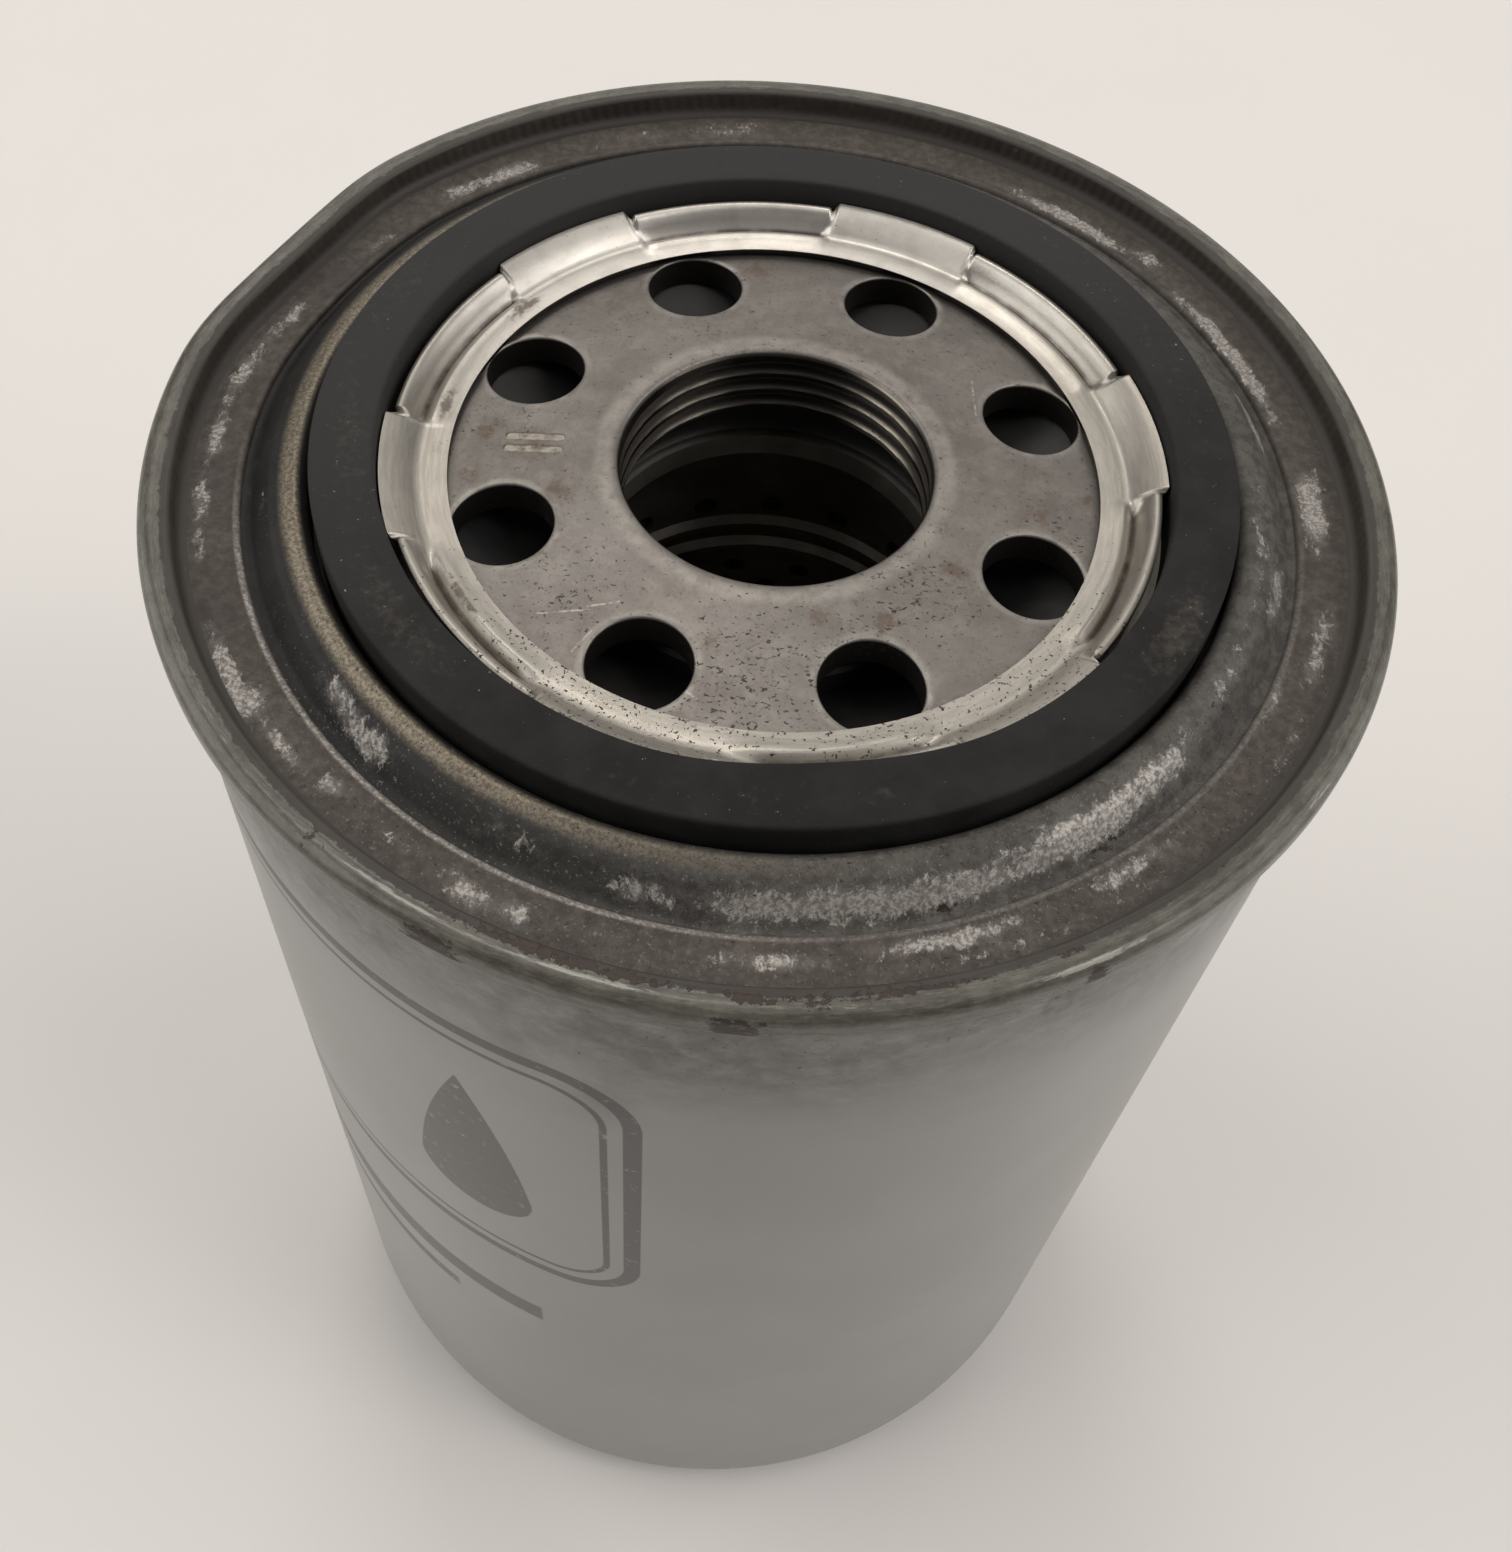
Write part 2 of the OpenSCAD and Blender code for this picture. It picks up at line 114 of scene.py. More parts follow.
def smoothstep(low, high, x):
    t = min(max((x - low) / (high - low), 0.0), 1.0)
    return t * t * (3 - 2 * t)


def turn_apart(a, b):
    """The unsigned angle between two directions, in degrees."""
    return abs((a - b + 180) % 360 - 180)


def arc(centre, radius, start, end, steps):
    """Points of an arc in a section. 0 degrees points outwards and 90 degrees up."""
    angles = [radians(start + (end - start) * k / steps) for k in range(steps + 1)]
    return [(centre[0] + radius * cos(a), centre[1] - radius * sin(a)) for a in angles]


def refined(line, spacing):
    """The line with points added, so that no stretch is longer than the spacing."""
    points = [line[0]]
    for (r0, d0), (r1, d1) in zip(line, line[1:]):
        parts = max(1, ceil(hypot(r1 - r0, d1 - d0) / spacing))
        points += [(r0 + (r1 - r0) * k / parts, d0 + (d1 - d0) * k / parts)
                   for k in range(1, parts + 1)]
    return points


def sheet(line, thickness):
    """The closed section of a sheet that has the line as its upper face."""
    under = []
    for k, (r, d) in enumerate(line):
        before, after = line[max(k - 1, 0)], line[min(k + 1, len(line) - 1)]
        dr, dd = after[0] - before[0], after[1] - before[1]
        length = hypot(dr, dd) or 1
        under.append((r - dd / length * thickness, d + dr / length * thickness))
    return line + under[::-1]


def turned(name, section, angles, sharp_angle=SHARP):
    """A mesh turned about the axis. section(angle) gives (radius, depth) points, the same number at
    every angle. Its UV map holds each point's angle and its place along the section."""
    rows = [section(a) for a in angles]
    count = len(rows[0])
    verts = [(r * MM * cos(radians(a)), r * MM * sin(radians(a)),
              (SEAM_TOP - d) * MM) for a, row in zip(angles, rows) for r, d in row]
    faces, wraps = [], []
    for k in range(len(angles)):
        here, there = k * count, (k + 1) % len(angles) * count
        a0, a1 = angles[k], angles[k + 1] if k + 1 < len(angles) else angles[0] + 360
        for i in range(count):
            j = (i + 1) % count
            faces.append((here + i, here + j, there + j, there + i))
            wraps += [(a0, i), (a0, i + 1), (a1, i + 1), (a1, i)]
    mesh = bpy.data.meshes.new(name)
    mesh.from_pydata(verts, [], faces)
    wrap = mesh.uv_layers.new(name="wrap")
    wrap.data.foreach_set("uv", [x for uv in wraps for x in (uv[0] / 360, uv[1] / count)])
    return finished(name, mesh, sharp_angle)


def tube(rings, sides):
    """Faces of a closed tube whose points run round one ring after another."""
    faces = []
    for k in range(rings - 1):
        for s in range(sides):
            t = (s + 1) % sides
            faces.append((k * sides + s, k * sides + t, (k + 1) * sides + t, (k + 1) * sides + s))
    return faces + [tuple(range(sides))[::-1], tuple(range((rings - 1) * sides, rings * sides))]


def finished(name, mesh, sharp_angle=SHARP):
    """The object of a mesh, with outward faces, and smooth shading between its sharp edges."""
    bm = bmesh.new()
    bm.from_mesh(mesh)
    bmesh.ops.remove_doubles(bm, verts=bm.verts, dist=1e-7)
    bmesh.ops.recalc_face_normals(bm, faces=bm.faces)
    bm.to_mesh(mesh)
    bm.free()
    mesh.shade_smooth()
    mesh.set_sharp_from_angle(angle=radians(sharp_angle))
    piece = bpy.data.objects.new(name, mesh)
    bpy.context.scene.collection.objects.link(piece)
    return piece


def polar(point):
    """(angle in degrees, radius, depth) of a mesh point."""
    x, y, z = (c / MM for c in point)
    return degrees(atan2(y, x)), hypot(x, y), SEAM_TOP - z


def set_fields(piece, **fields):
    """Stores each field's value(angle, radius, depth) at the points of a piece."""
    for name, value in fields.items():
        field = piece.data.attributes.new(name, "FLOAT", "POINT")
        field.data.foreach_set("value", [value(*polar(v.co)) for v in piece.data.vertices])


def carve(piece, cutters):
    """Cuts the cutters out of a piece, and deletes them."""
    for cutter in cutters:
        cut = piece.modifiers.new("cut", "BOOLEAN")
        cut.object = cutter
        cut.operation = "DIFFERENCE"
        cut.solver = "EXACT"
    graph = bpy.context.evaluated_depsgraph_get()
    mesh = bpy.data.meshes.new_from_object(piece.evaluated_get(graph))
    piece.modifiers.clear()
    piece.data = mesh
    for cutter in cutters:
        bpy.data.objects.remove(cutter)
    mesh.shade_smooth()
    mesh.set_sharp_from_angle(angle=radians(SHARP))


def patches(angle, place, spots):
    """How much of the spots is at this place: each spot is (angle, half angle, place, half width,
    amount), and the place is a radius or a depth."""
    total = 0.0
    for spot_angle, half_angle, spot_place, half_width, amount in spots:
        total += (amount * smoothstep(half_angle, 0, turn_apart(angle, spot_angle))
                  * smoothstep(half_width, 0, abs(place - spot_place)))
    return total


# ---------------------------------------------------- material nodes

class Paint:
    """A material's nodes, with short calls for the usual ones. Lengths are in millimetres."""

    def __init__(self, name, roughness=0.5, metallic=0.0):
        self.material = bpy.data.materials.new(name)
        self.material.use_nodes = True
        self.tree = self.material.node_tree
        self.shader = self.tree.nodes["Principled BSDF"]
        self.shader.inputs["Roughness"].default_value = roughness
        self.shader.inputs["Metallic"].default_value = metallic
        place = self.node("ShaderNodeTexCoord").outputs["Object"]
        self.place = self.vector("MULTIPLY", place, (1 / MM,) * 3)

    def node(self, kind, inputs=None, **settings):
        node = self.tree.nodes.new(kind)
        for key, value in settings.items():
            setattr(node, key, value)
        for key, value in (inputs or {}).items():
            self.put(node.inputs[key], value)
        return node

    def put(self, socket, value):
        if isinstance(value, bpy.types.NodeSocket):
            self.tree.links.new(value, socket)
        else:
            socket.default_value = value

    def vector(self, operation, a, b, third=(0, 0, 0)):
        inputs = {0: a, 1: b, 2: third}
        return self.node("ShaderNodeVectorMath", inputs, operation=operation).outputs[0]

    def math(self, operation, a, b=0.0, third=0.0, clamp=False):
        inputs = {0: a, 1: b, 2: third}
        return self.node("ShaderNodeMath", inputs, operation=operation, use_clamp=clamp).outputs[0]

    def times(self, a, b):
        return self.math("MULTIPLY", a, b)

    def plus(self, a, b):
        return self.math("ADD", a, b)

    def more(self, a, b):
        return self.math("MAXIMUM", a, b)

    def add_part(self, base, part, share):
        """The base, and this share of another value on top."""
        return self.math("MULTIPLY_ADD", part, share, third=base)

    def joined(self, x, y, z=0.0):
        return self.node("ShaderNodeCombineXYZ", {0: x, 1: y, 2: z}).outputs[0]

    def length(self, vector):
        return self.node("ShaderNodeVectorMath", {0: vector}, operation="LENGTH").outputs["Value"]

    def noise(self, size, detail=4, rough=0.55, stretch=(1, 1, 1), offset=(0, 0, 0), warp=0.0,
              place=None):
        """Noise from 0 to 1, with features about this size; stretch makes them longer."""
        scale = [1 / (size * s) for s in stretch]
        place = self.vector("MULTIPLY_ADD", place or self.place, scale, offset)
        inputs = {"Vector": place, "Scale": 1.0, "Detail": detail, "Roughness": rough,
                  "Distortion": warp}
        return self.node("ShaderNodeTexNoise", inputs).outputs["Fac"]

    def between(self, value, low, high, to=(0.0, 1.0)):
        """0 where the value is under low and 1 where it is over high, smooth in between."""
        inputs = {"Value": value, "From Min": low, "From Max": high,
                  "To Min": to[0], "To Max": to[1]}
        return self.node("ShaderNodeMapRange", inputs, interpolation_type="SMOOTHSTEP").outputs[0]

    def within(self, value, low, high, soft=0.2):
        """1 between the two limits and 0 outside them."""
        return self.times(self.between(value, low - soft, low + soft),
                          self.between(value, high + soft, high - soft))

    def spots(self, size, low, high, to=(0.0, 1.0), **settings):
        """Noise, cut at two levels into spots."""
        return self.between(self.noise(size, **settings), low, high, to)

    def marked(self, field, share, noise, low, high):
        """Noise cut at two levels, with more spots where the piece's field is strong."""
        return self.between(self.add_part(noise, self.field(field), share), low, high)

    def rounded_frame(self, x, y, half, corner, width):
        """A rectangle's outline with rounded corners, drawn inwards from its half sizes."""
        inner = [self.more(self.math("SUBTRACT", self.math("ABSOLUTE", v), h - corner), 0)
                 for v, h in zip((x, y), half)]
        return self.within(self.length(self.joined(*inner)), corner - width, corner, soft=0.08)

    def stroke(self, start, end, half_width):
        """A thin straight line on top of the part, between two points."""
        reach = Vector(end) - Vector(start)
        away = self.vector("MULTIPLY", self.vector("SUBTRACT", self.place, (*start, 0)), (1, 1, 0))
        dot = self.node("ShaderNodeVectorMath", {0: away, 1: (*reach, 0)}, operation="DOT_PRODUCT")
        share = self.math("MULTIPLY", dot.outputs["Value"], 1 / reach.length_squared, clamp=True)
        inputs = {0: (*reach, 0), "Scale": share}
        along = self.node("ShaderNodeVectorMath", inputs, operation="SCALE").outputs[0]
        rest = self.length(self.vector("SUBTRACT", away, along))
        return self.between(rest, half_width * 1.3, half_width * 0.7)

    def mix(self, factor, a, b):
        """Colour a where the factor is 0, and b where it is 1."""
        node = self.node("ShaderNodeMix", data_type="RGBA")
        for socket, value in zip([s for s in node.inputs if s.enabled], (factor, a, b)):
            self.put(socket, (*value, 1) if isinstance(value, tuple) else value)
        return next(s for s in node.outputs if s.enabled)

    def coat(self, base, colour, mask, amount=1.0):
        """The base, with a colour laid over it as far as the mask and the amount say."""
        return self.mix(mask if amount == 1.0 else self.times(mask, amount), base, colour)

    def blend(self, factor, a, b):
        """Number a where the factor is 0, and b where it is 1."""
        inputs = {"Value": factor, "From Min": 0.0, "From Max": 1.0, "To Min": a, "To Max": b}
        return self.node("ShaderNodeMapRange", inputs).outputs[0]

    def field(self, name):
        return self.node("ShaderNodeAttribute", attribute_name=name).outputs["Fac"]

    def turn(self):
        """The angle in the UV map, 0 to 1 round the axis."""
        uv = self.node("ShaderNodeUVMap", uv_map="wrap").outputs[0]
        return self.node("ShaderNodeSeparateXYZ", {0: uv}).outputs[0]

    def polar(self):
        """The sockets of a point's direction (-180 to 180 degrees), radius and height."""
        x, y, z = self.node("ShaderNodeSeparateXYZ", {0: self.place}).outputs
        angle = self.times(self.math("ARCTAN2", y, x), 180 / pi)
        return angle, self.length(self.vector("MULTIPLY", self.place, (1, 1, 0))), z

    def bump(self, height, depth):
        """A normal from a height of 0 to 1, this deep in millimetres."""
        inputs = {"Height": height, "Distance": depth * MM, "Strength": 1.0}
        return self.node("ShaderNodeBump", inputs).outputs[0]

    def finish(self, colour=None, roughness=None, metallic=None, normal=None):
        for key, value in (("Base Color", colour), ("Roughness", roughness),
                           ("Metallic", metallic), ("Normal", normal)):
            if value is not None:
                self.put(self.shader.inputs[key], value)
        return self.material


def label_ink(p, angle, z):
    """The print on the can, 0 or 1: a double frame with a drop in it, and two bars below."""
    along = p.times(p.plus(angle, -LABEL_AT), CAN_R * pi / 180)
    up = p.math("SUBTRACT", z, LABEL_Z)
    ink = p.more(p.rounded_frame(along, up, (35.5, 27), 9, 1.7),
                 p.rounded_frame(along, up, (32.4, 23.9), 6.5, 0.7))
    x, y = p.math("SUBTRACT", along, 18), p.plus(up, 9)
    rise = p.math("DIVIDE", y, 25, clamp=True)
    half = p.times(p.times(p.math("SUBTRACT", 1, rise), 6.4), p.add_part(1, rise, 0.6))
    tip = p.between(p.math("SUBTRACT", p.math("ABSOLUTE", x), half), 0.1, -0.1)
    tip = p.times(tip, p.within(y, 0, 24.8))
    ball = p.between(p.length(p.joined(x, y)), 6.5, 6.3)
    ink = p.more(ink, p.more(tip, ball))
    for low, high, right in ((-46, -41.5, 24), (-52.5, -50, 12)):
        ink = p.more(ink, p.times(p.within(up, low, high), p.within(along, -18, right)))
    return ink


def can_paint():
    """Pale semi-gloss paint, darker under the seam from soiling and painted shade, and a print
    rubbed thin.
    """
    p = Paint("can_paint")
    angle, _, z = p.polar()
    grime = p.field("grime")
    base = p.mix(p.spots(24, 0.35, 0.7, detail=5), (0.248, 0.242, 0.231), (0.275, 0.270, 0.261))
    worn = p.spots(1.4, 0.30, 0.42, detail=7, rough=0.7)
    base = p.coat(base, (0.030, 0.028, 0.026), p.times(label_ink(p, angle, z), worn), 0.97)
    smear = p.spots(3.6, 0.08, 0.72, detail=10, rough=0.74, stretch=(1, 1, 0.8))
    # soiling, and painted shade under the seam's overhang, darken the paint
    dirt = p.times(p.math("MINIMUM", grime, 1.2), smear)
    base = p.coat(base, (0.07, 0.065, 0.06), dirt, 0.72)
    specks = p.marked("grime", 0.1, p.noise(0.8, detail=6, rough=0.7), 0.74, 0.77)
    base = p.coat(base, (0.022, 0.017, 0.014), p.times(specks, p.between(grime, 0.02, 0.3)))
    height = p.add_part(p.noise(3.5, detail=1), p.noise(0.6, detail=3), 0.15)
    return p.finish(base, p.add_part(0.3, dirt, 0.25), normal=p.bump(height, 0.006))


def seam_paint():
    """Greenish paint, rubbed thin, on the rolled seam, with rust along its inner edge and tool
    marks; painted highlights run along its top and painted shade darkens its walls lower down.
    """
    p = Paint("seam_paint")
    turn, reach, depth = p.turn(), p.field("reach"), p.field("sink")
    base = p.mix(p.spots(3.2, 0.36, 0.66, detail=7, rough=0.62),
                 (0.072, 0.066, 0.052), (0.125, 0.119, 0.098))
    streak_place = p.joined(p.times(reach, 5), p.times(turn, 190), p.times(depth, 2))
    streaks = p.noise(1, detail=6, rough=0.65, place=streak_place)
    base = p.coat(base, (0.22, 0.21, 0.18), p.between(streaks, 0.5, 0.62), 0.35)
    dark = p.spots(0.5, 0.54, 0.64, detail=8, rough=0.8)
    base = p.coat(base, (0.04, 0.035, 0.028), dark, 0.45)
    pale = p.spots(0.35, 0.60, 0.68, detail=5, rough=0.8, offset=(9, 4, 2))
    base = p.coat(base, (0.25, 0.24, 0.205), pale, 0.35)
    # painted highlights: bright streaks along the seam's rounded top, where it would catch the
    # lamps
    base = p.coat(base, (0.40, 0.39, 0.345), p.marked("worn", 0.35, streaks, 0.72, 0.86), 0.75)
    edge_noise = p.noise(0.9, detail=8, rough=0.75, stretch=(1.4, 1.4, 1))
    edge = p.between(p.add_part(edge_noise, p.between(reach, 53.5, 52.7), 0.34), 0.62, 0.74)
    base = p.coat(base, (0.034, 0.026, 0.021), edge, 0.85)
    line_place = p.joined(p.times(reach, 7), p.times(turn, 30))
    lines = p.spots(1, 0.5, 0.58, detail=5, rough=0.6, place=line_place)
    base = p.coat(base, (0.024, 0.019, 0.016), p.times(lines, p.between(reach, 53.6, 53.0)), 0.6)
    rust_noise = p.noise(0.7, detail=7, rough=0.75, stretch=(1, 1, 0.5))
    rust = p.marked("rust", 0.26, rust_noise, 0.68, 0.74)
    base = p.mix(rust, base, p.mix(p.noise(1.2), (0.016, 0.011, 0.009), (0.06, 0.032, 0.018)))
    # painted shade: the seam's walls grow darker towards their foot and into the corner inside the
    # seam, broken up by the streaks
    under = p.times(p.between(depth, 1.1, 2.3), p.between(streaks, 0.3, 0.6, to=(0.75, 0.35)))
    base = p.mix(under, base, (0.028, 0.024, 0.02))
    tool_marks = p.math("SINE", p.times(turn, 288 * 2 * pi))
    inside = p.times(p.within(depth, 0.5, 1.9), p.within(reach, 51, 52.4))
    tool_marks = p.times(tool_marks, inside)
    base = p.mix(p.add_part(0.84, tool_marks, 0.16), (0.03, 0.027, 0.024), base)
    rough = p.add_part(p.blend(streaks, 0.16, 0.4), p.more(rust, edge), 0.3)
    height = p.add_part(p.times(rust, -0.5), p.noise(0.45, detail=4, rough=0.65), 0.3)
    return p.finish(base, rough, normal=p.bump(p.add_part(height, tool_marks, 0.5), 0.05))


def lid_lacquer():
    """Dark lacquer, rubbed through to bare steel in feathery patches, with some painted light and
    shade.
    """
    p = Paint("lid_lacquer")
    reach, silver = p.field("reach"), p.field("silver")
    fine = p.noise(0.35, detail=4, rough=0.65)
    # partly wear and partly painted reflection: the slope goes from near black to silvery towards
    # the right
    slope = p.mix(silver, (0.010, 0.0095, 0.009), (0.10, 0.095, 0.087))
    grains = p.spots(0.35, 0.56, 0.66, detail=7, rough=0.8, offset=(3, 8, 5))
    grain_colour = p.mix(silver, (0.024, 0.022, 0.020), (0.20, 0.19, 0.172))
    slope = p.coat(slope, grain_colour, grains, 0.4)
    blotches = p.spots(1.3, 0.44, 0.58, detail=9, rough=0.78, stretch=(1.2, 1.2, 0.8))
    blotch_colour = p.mix(silver, (0.016, 0.015, 0.014), (0.035, 0.032, 0.029))
    slope = p.coat(slope, blotch_colour, blotches, 0.65)
    ring = p.mix(p.spots(1.1, 0.38, 0.66, detail=9, rough=0.72),
                 (0.064, 0.053, 0.046), (0.108, 0.093, 0.082))
    coat = p.mix(p.between(reach, 46.6, 47.1), slope, ring)
    coat = p.coat(coat, (0.035, 0.031, 0.028), p.spots(7, 0.35, 0.7, detail=5), 0.35)
    # painted highlight: a creamy, gritty band along the top of the bead, where the slope is not
    # silvery
    crest = p.times(p.between(reach, 41.3, 42.0), p.between(reach, 43.6, 42.5))
    crest = p.times(crest, p.between(silver, 1.2, 0.0))
    grit = p.spots(0.3, 0.36, 0.66, to=(0.3, 1.0), detail=5, rough=0.75)
    coat = p.coat(coat, (0.31, 0.265, 0.20), p.times(crest, grit))
    # painted shade in the gasket channel and the gap between the gasket and the bead
    coat = p.coat(coat, (0.02, 0.019, 0.018), p.within(reach, 33, 41.05))
    specks = p.noise(0.42, detail=6, rough=0.78, offset=(1, 6, 9))
    coat = p.coat(coat, (0.010, 0.008, 0.007), p.marked("pitted", 0.05, specks, 0.64, 0.68), 0.75)
    flecks = p.noise(0.34, detail=5, rough=0.75, offset=(7, 2, 4))
    coat = p.coat(coat, (0.26, 0.235, 0.21), p.marked("pitted", 0.07, flecks, 0.67, 0.71), 0.6)
    halo = p.noise(1.6, detail=9, rough=0.74, offset=(4, 9, 1))
    coat = p.coat(coat, (0.235, 0.22, 0.203), p.marked("bare", 0.42, halo, 0.56, 1.05), 0.6)

    feather = p.noise(1.5, detail=12, rough=0.8, stretch=(0.8, 1.3, 1), warp=0.3)
    bare = p.marked("bare", 0.26, feather, 0.63, 0.71)
    bare = p.times(bare, p.spots(0.5, 0.36, 0.5, detail=6, rough=0.75))
    # painted highlight: a bright, gritty line along the step's edge, mixed in with the bare steel
    line = p.times(p.within(reach, 46.85, 47.4, soft=0.15), p.times(grit, p.field("line")))
    bare = p.more(bare, line)
    steel = p.mix(p.between(fine, 0.4, 0.6), (0.24, 0.225, 0.205), (0.47, 0.44, 0.41))
    colour = p.mix(bare, coat, steel)
    rust = p.marked("rust", 0.4, p.noise(0.6, detail=3, rough=0.6), 0.68, 0.76)
    colour = p.mix(rust, colour, (0.035, 0.022, 0.016))
    metal = p.times(p.more(bare, crest), 0.5)
    rough = p.add_part(p.blend(fine, 0.40, 0.62), crest, -0.1)
    p.shader.inputs["Specular IOR Level"].default_value = 0.22
    height = p.add_part(p.times(bare, -0.4), fine, 0.6)
    return p.finish(colour, rough, metal, p.bump(height, 0.03))


def tinned_lip():
    """Bright tinned steel with draw lines, fine black pits and brown stains, plus a painted sheen
    and painted shade.
    """
    p = Paint("tinned_lip")
    turn, reach, depth = p.turn(), p.field("reach"), p.field("sink")
    lines = p.noise(1, detail=4, rough=0.5, place=p.joined(p.times(reach, 3.2), p.times(turn, 60)))
    mottle = p.noise(2.4, detail=6)
    base = p.mix(p.between(lines, 0.36, 0.66), (0.35, 0.325, 0.29), (0.41, 0.385, 0.345))
    # painted sheen: the lip is brighter at the back
    base = p.coat(base, (0.60, 0.57, 0.53), p.field("clean"))
    base = p.coat(base, (0.33, 0.305, 0.27), p.between(mottle, 0.45, 0.7), 0.3)
    grains = p.spots(0.4, 0.58, 0.66, detail=7, rough=0.8)
    base = p.coat(base, (0.20, 0.18, 0.15), grains, 0.4)
    pits = p.marked("pitted", 0.13, p.noise(0.42, detail=3, rough=0.65), 0.735, 0.77)
    stain = p.marked("stain", 0.45, p.noise(0.7, detail=8, rough=0.78), 0.70, 0.92)
    base = p.coat(base, (0.12, 0.095, 0.072), stain, 0.8)
    base = p.coat(base, (0.018, 0.013, 0.01), pits)
    metal = p.math("SUBTRACT", 0.84, p.more(pits, p.times(stain, 0.5)), clamp=True)
    # dirt and painted shade in the valley of the pressed stretches
    crease = p.times(p.between(depth, 1.72, 2.0), p.within(reach, 31.5, 32.6))
    crease = p.times(crease, p.between(mottle, 0.3, 0.55, to=(0.35, 0.8)))
    base = p.coat(base, (0.07, 0.058, 0.048), crease)
    # painted shade: the lip's inner cut edge and its underside, over the gap to the plate
    cut_edge = p.times(p.between(reach, 29.4, 29.2), p.between(depth, 1.8, 1.9))
    base = p.coat(base, (0.03, 0.026, 0.022), cut_edge)
    rough = p.add_part(p.blend(mottle, 0.32, 0.42), stain, 0.2)
    height = p.add_part(p.times(pits, -1.5), p.noise(0.3, detail=4, rough=0.6), 0.35)
    return p.finish(base, rough, metal, p.bump(p.add_part(height, lines, 0.15), 0.035))


# ends of the scratches on the plate, as (x, y) pairs
SCRATCHES = [((-18.6, -18.9), (-14.4, -18.2)), ((-14.6, -17.9), (-12.0, -17.2)),
             ((-15.2, -22.4), (-13.9, -20.3)), ((17.5, 13.4), (17.9, 8.8)),
             ((-6.6, -24.6), (-4.6, -26.0))]


def pale_rims(p, angle, radius):
    """Painted highlights: bands round the inlet holes and round the mouth of the bore."""
    pitch = 360 / INLET_COUNT
    turn = p.math("MODULO", p.plus(angle, 360), pitch)
    turn = p.times(p.math("SUBTRACT", turn, pitch / 2), pi / 180)
    outwards = p.math("SUBTRACT", p.times(radius, p.math("COSINE", turn)), INLET_CIRCLE_R)
    reach = p.length(p.joined(outwards, p.times(radius, p.math("SINE", turn))))
    return p.more(p.within(reach, 4.4, 5.1, soft=0.35), p.within(radius, 14.9, 16.2, soft=0.6))


def plate_steel():
    """Satin steel: worm-like pits, brown stains and a few scratches, with painted highlights round
    the holes, painted glints on the thread and painted shade in the bore.
    """
    p = Paint("plate_steel")
    angle, radius, _ = p.polar()
    grain = p.noise(0.8, detail=6, rough=0.7)
    base = p.mix(p.spots(9, 0.34, 0.7, detail=6, rough=0.6),
                 (0.175, 0.159, 0.145), (0.225, 0.208, 0.192))
    pale = p.spots(2.2, 0.42, 0.66, detail=9, rough=0.7)
    base = p.coat(base, (0.29, 0.27, 0.248), pale, 0.45)
    dark = p.spots(0.4, 0.56, 0.64, detail=7, rough=0.82)
    base = p.coat(base, (0.08, 0.068, 0.059), dark, 0.5)
    brown = p.spots(0.7, 0.585, 0.64, detail=7, rough=0.8, offset=(5, 1, 3))
    base = p.coat(base, (0.085, 0.056, 0.038), brown, 0.6)
    # painted highlights: bright bands round the holes and round the bore's mouth
    rims = p.times(pale_rims(p, angle, radius),
                   p.spots(3, 0.35, 0.62, to=(0.1, 0.6), detail=7, rough=0.7))
    base = p.coat(base, (0.37, 0.35, 0.32), rims)
    stain = p.marked("stain", 0.3, p.noise(1.3, detail=8, rough=0.78), 0.56, 0.80)
    base = p.coat(base, (0.10, 0.062, 0.038), stain, 0.8)
    pit_noise = p.noise(0.42, detail=5, rough=0.65, stretch=(1.2, 0.85, 1), warp=0.4)
    pits = p.marked("pitted", 0.08, pit_noise, 0.66, 0.69)
    base = p.coat(base, (0.024, 0.018, 0.014), pits)
    scratches = 0.0
    for ends in SCRATCHES:
        scratches = p.more(p.stroke(*ends, 0.1), scratches)
    scratches = p.times(scratches, p.spots(0.6, 0.4, 0.6, detail=5, rough=0.7))
    base = p.coat(base, (0.6, 0.57, 0.52), scratches, 0.45)
    bars = p.more(p.stroke((-24.0, 0.75), (-19.5, 0.75), 0.42),
                  p.stroke((-24.0, -0.75), (-19.5, -0.75), 0.42))
    base = p.coat(base, (0.36, 0.33, 0.28), p.times(bars, p.between(grain, 0.35, 0.6)))
    # painted shade: the bore, the walls of the holes and the plate's underside are darkened
    wall = p.between(p.field("below"), 0.08, 0.3)
    bore = p.times(wall, p.between(radius, 15.8, 15.2))
    base = p.coat(base, (0.022, 0.019, 0.016), wall, 0.92)
    crest = p.times(bore, p.between(radius, 14.5, 14.0))
    glint = p.math("MULTIPLY", p.field("glint"), 0.8, clamp=True)
    base = p.coat(base, (0.40, 0.36, 0.30), p.times(crest, glint))
    metal = p.math("SUBTRACT", 0.85, p.more(pits, p.times(stain, 0.7)), clamp=True)
    height = p.add_part(p.times(pits, -2), p.noise(0.22, detail=3), 0.3)
    height = p.add_part(p.add_part(height, grain, 0.5), bars, 3.5)
    return p.finish(base, p.blend(bore, 0.48, 0.42), metal, p.bump(height, 0.03))


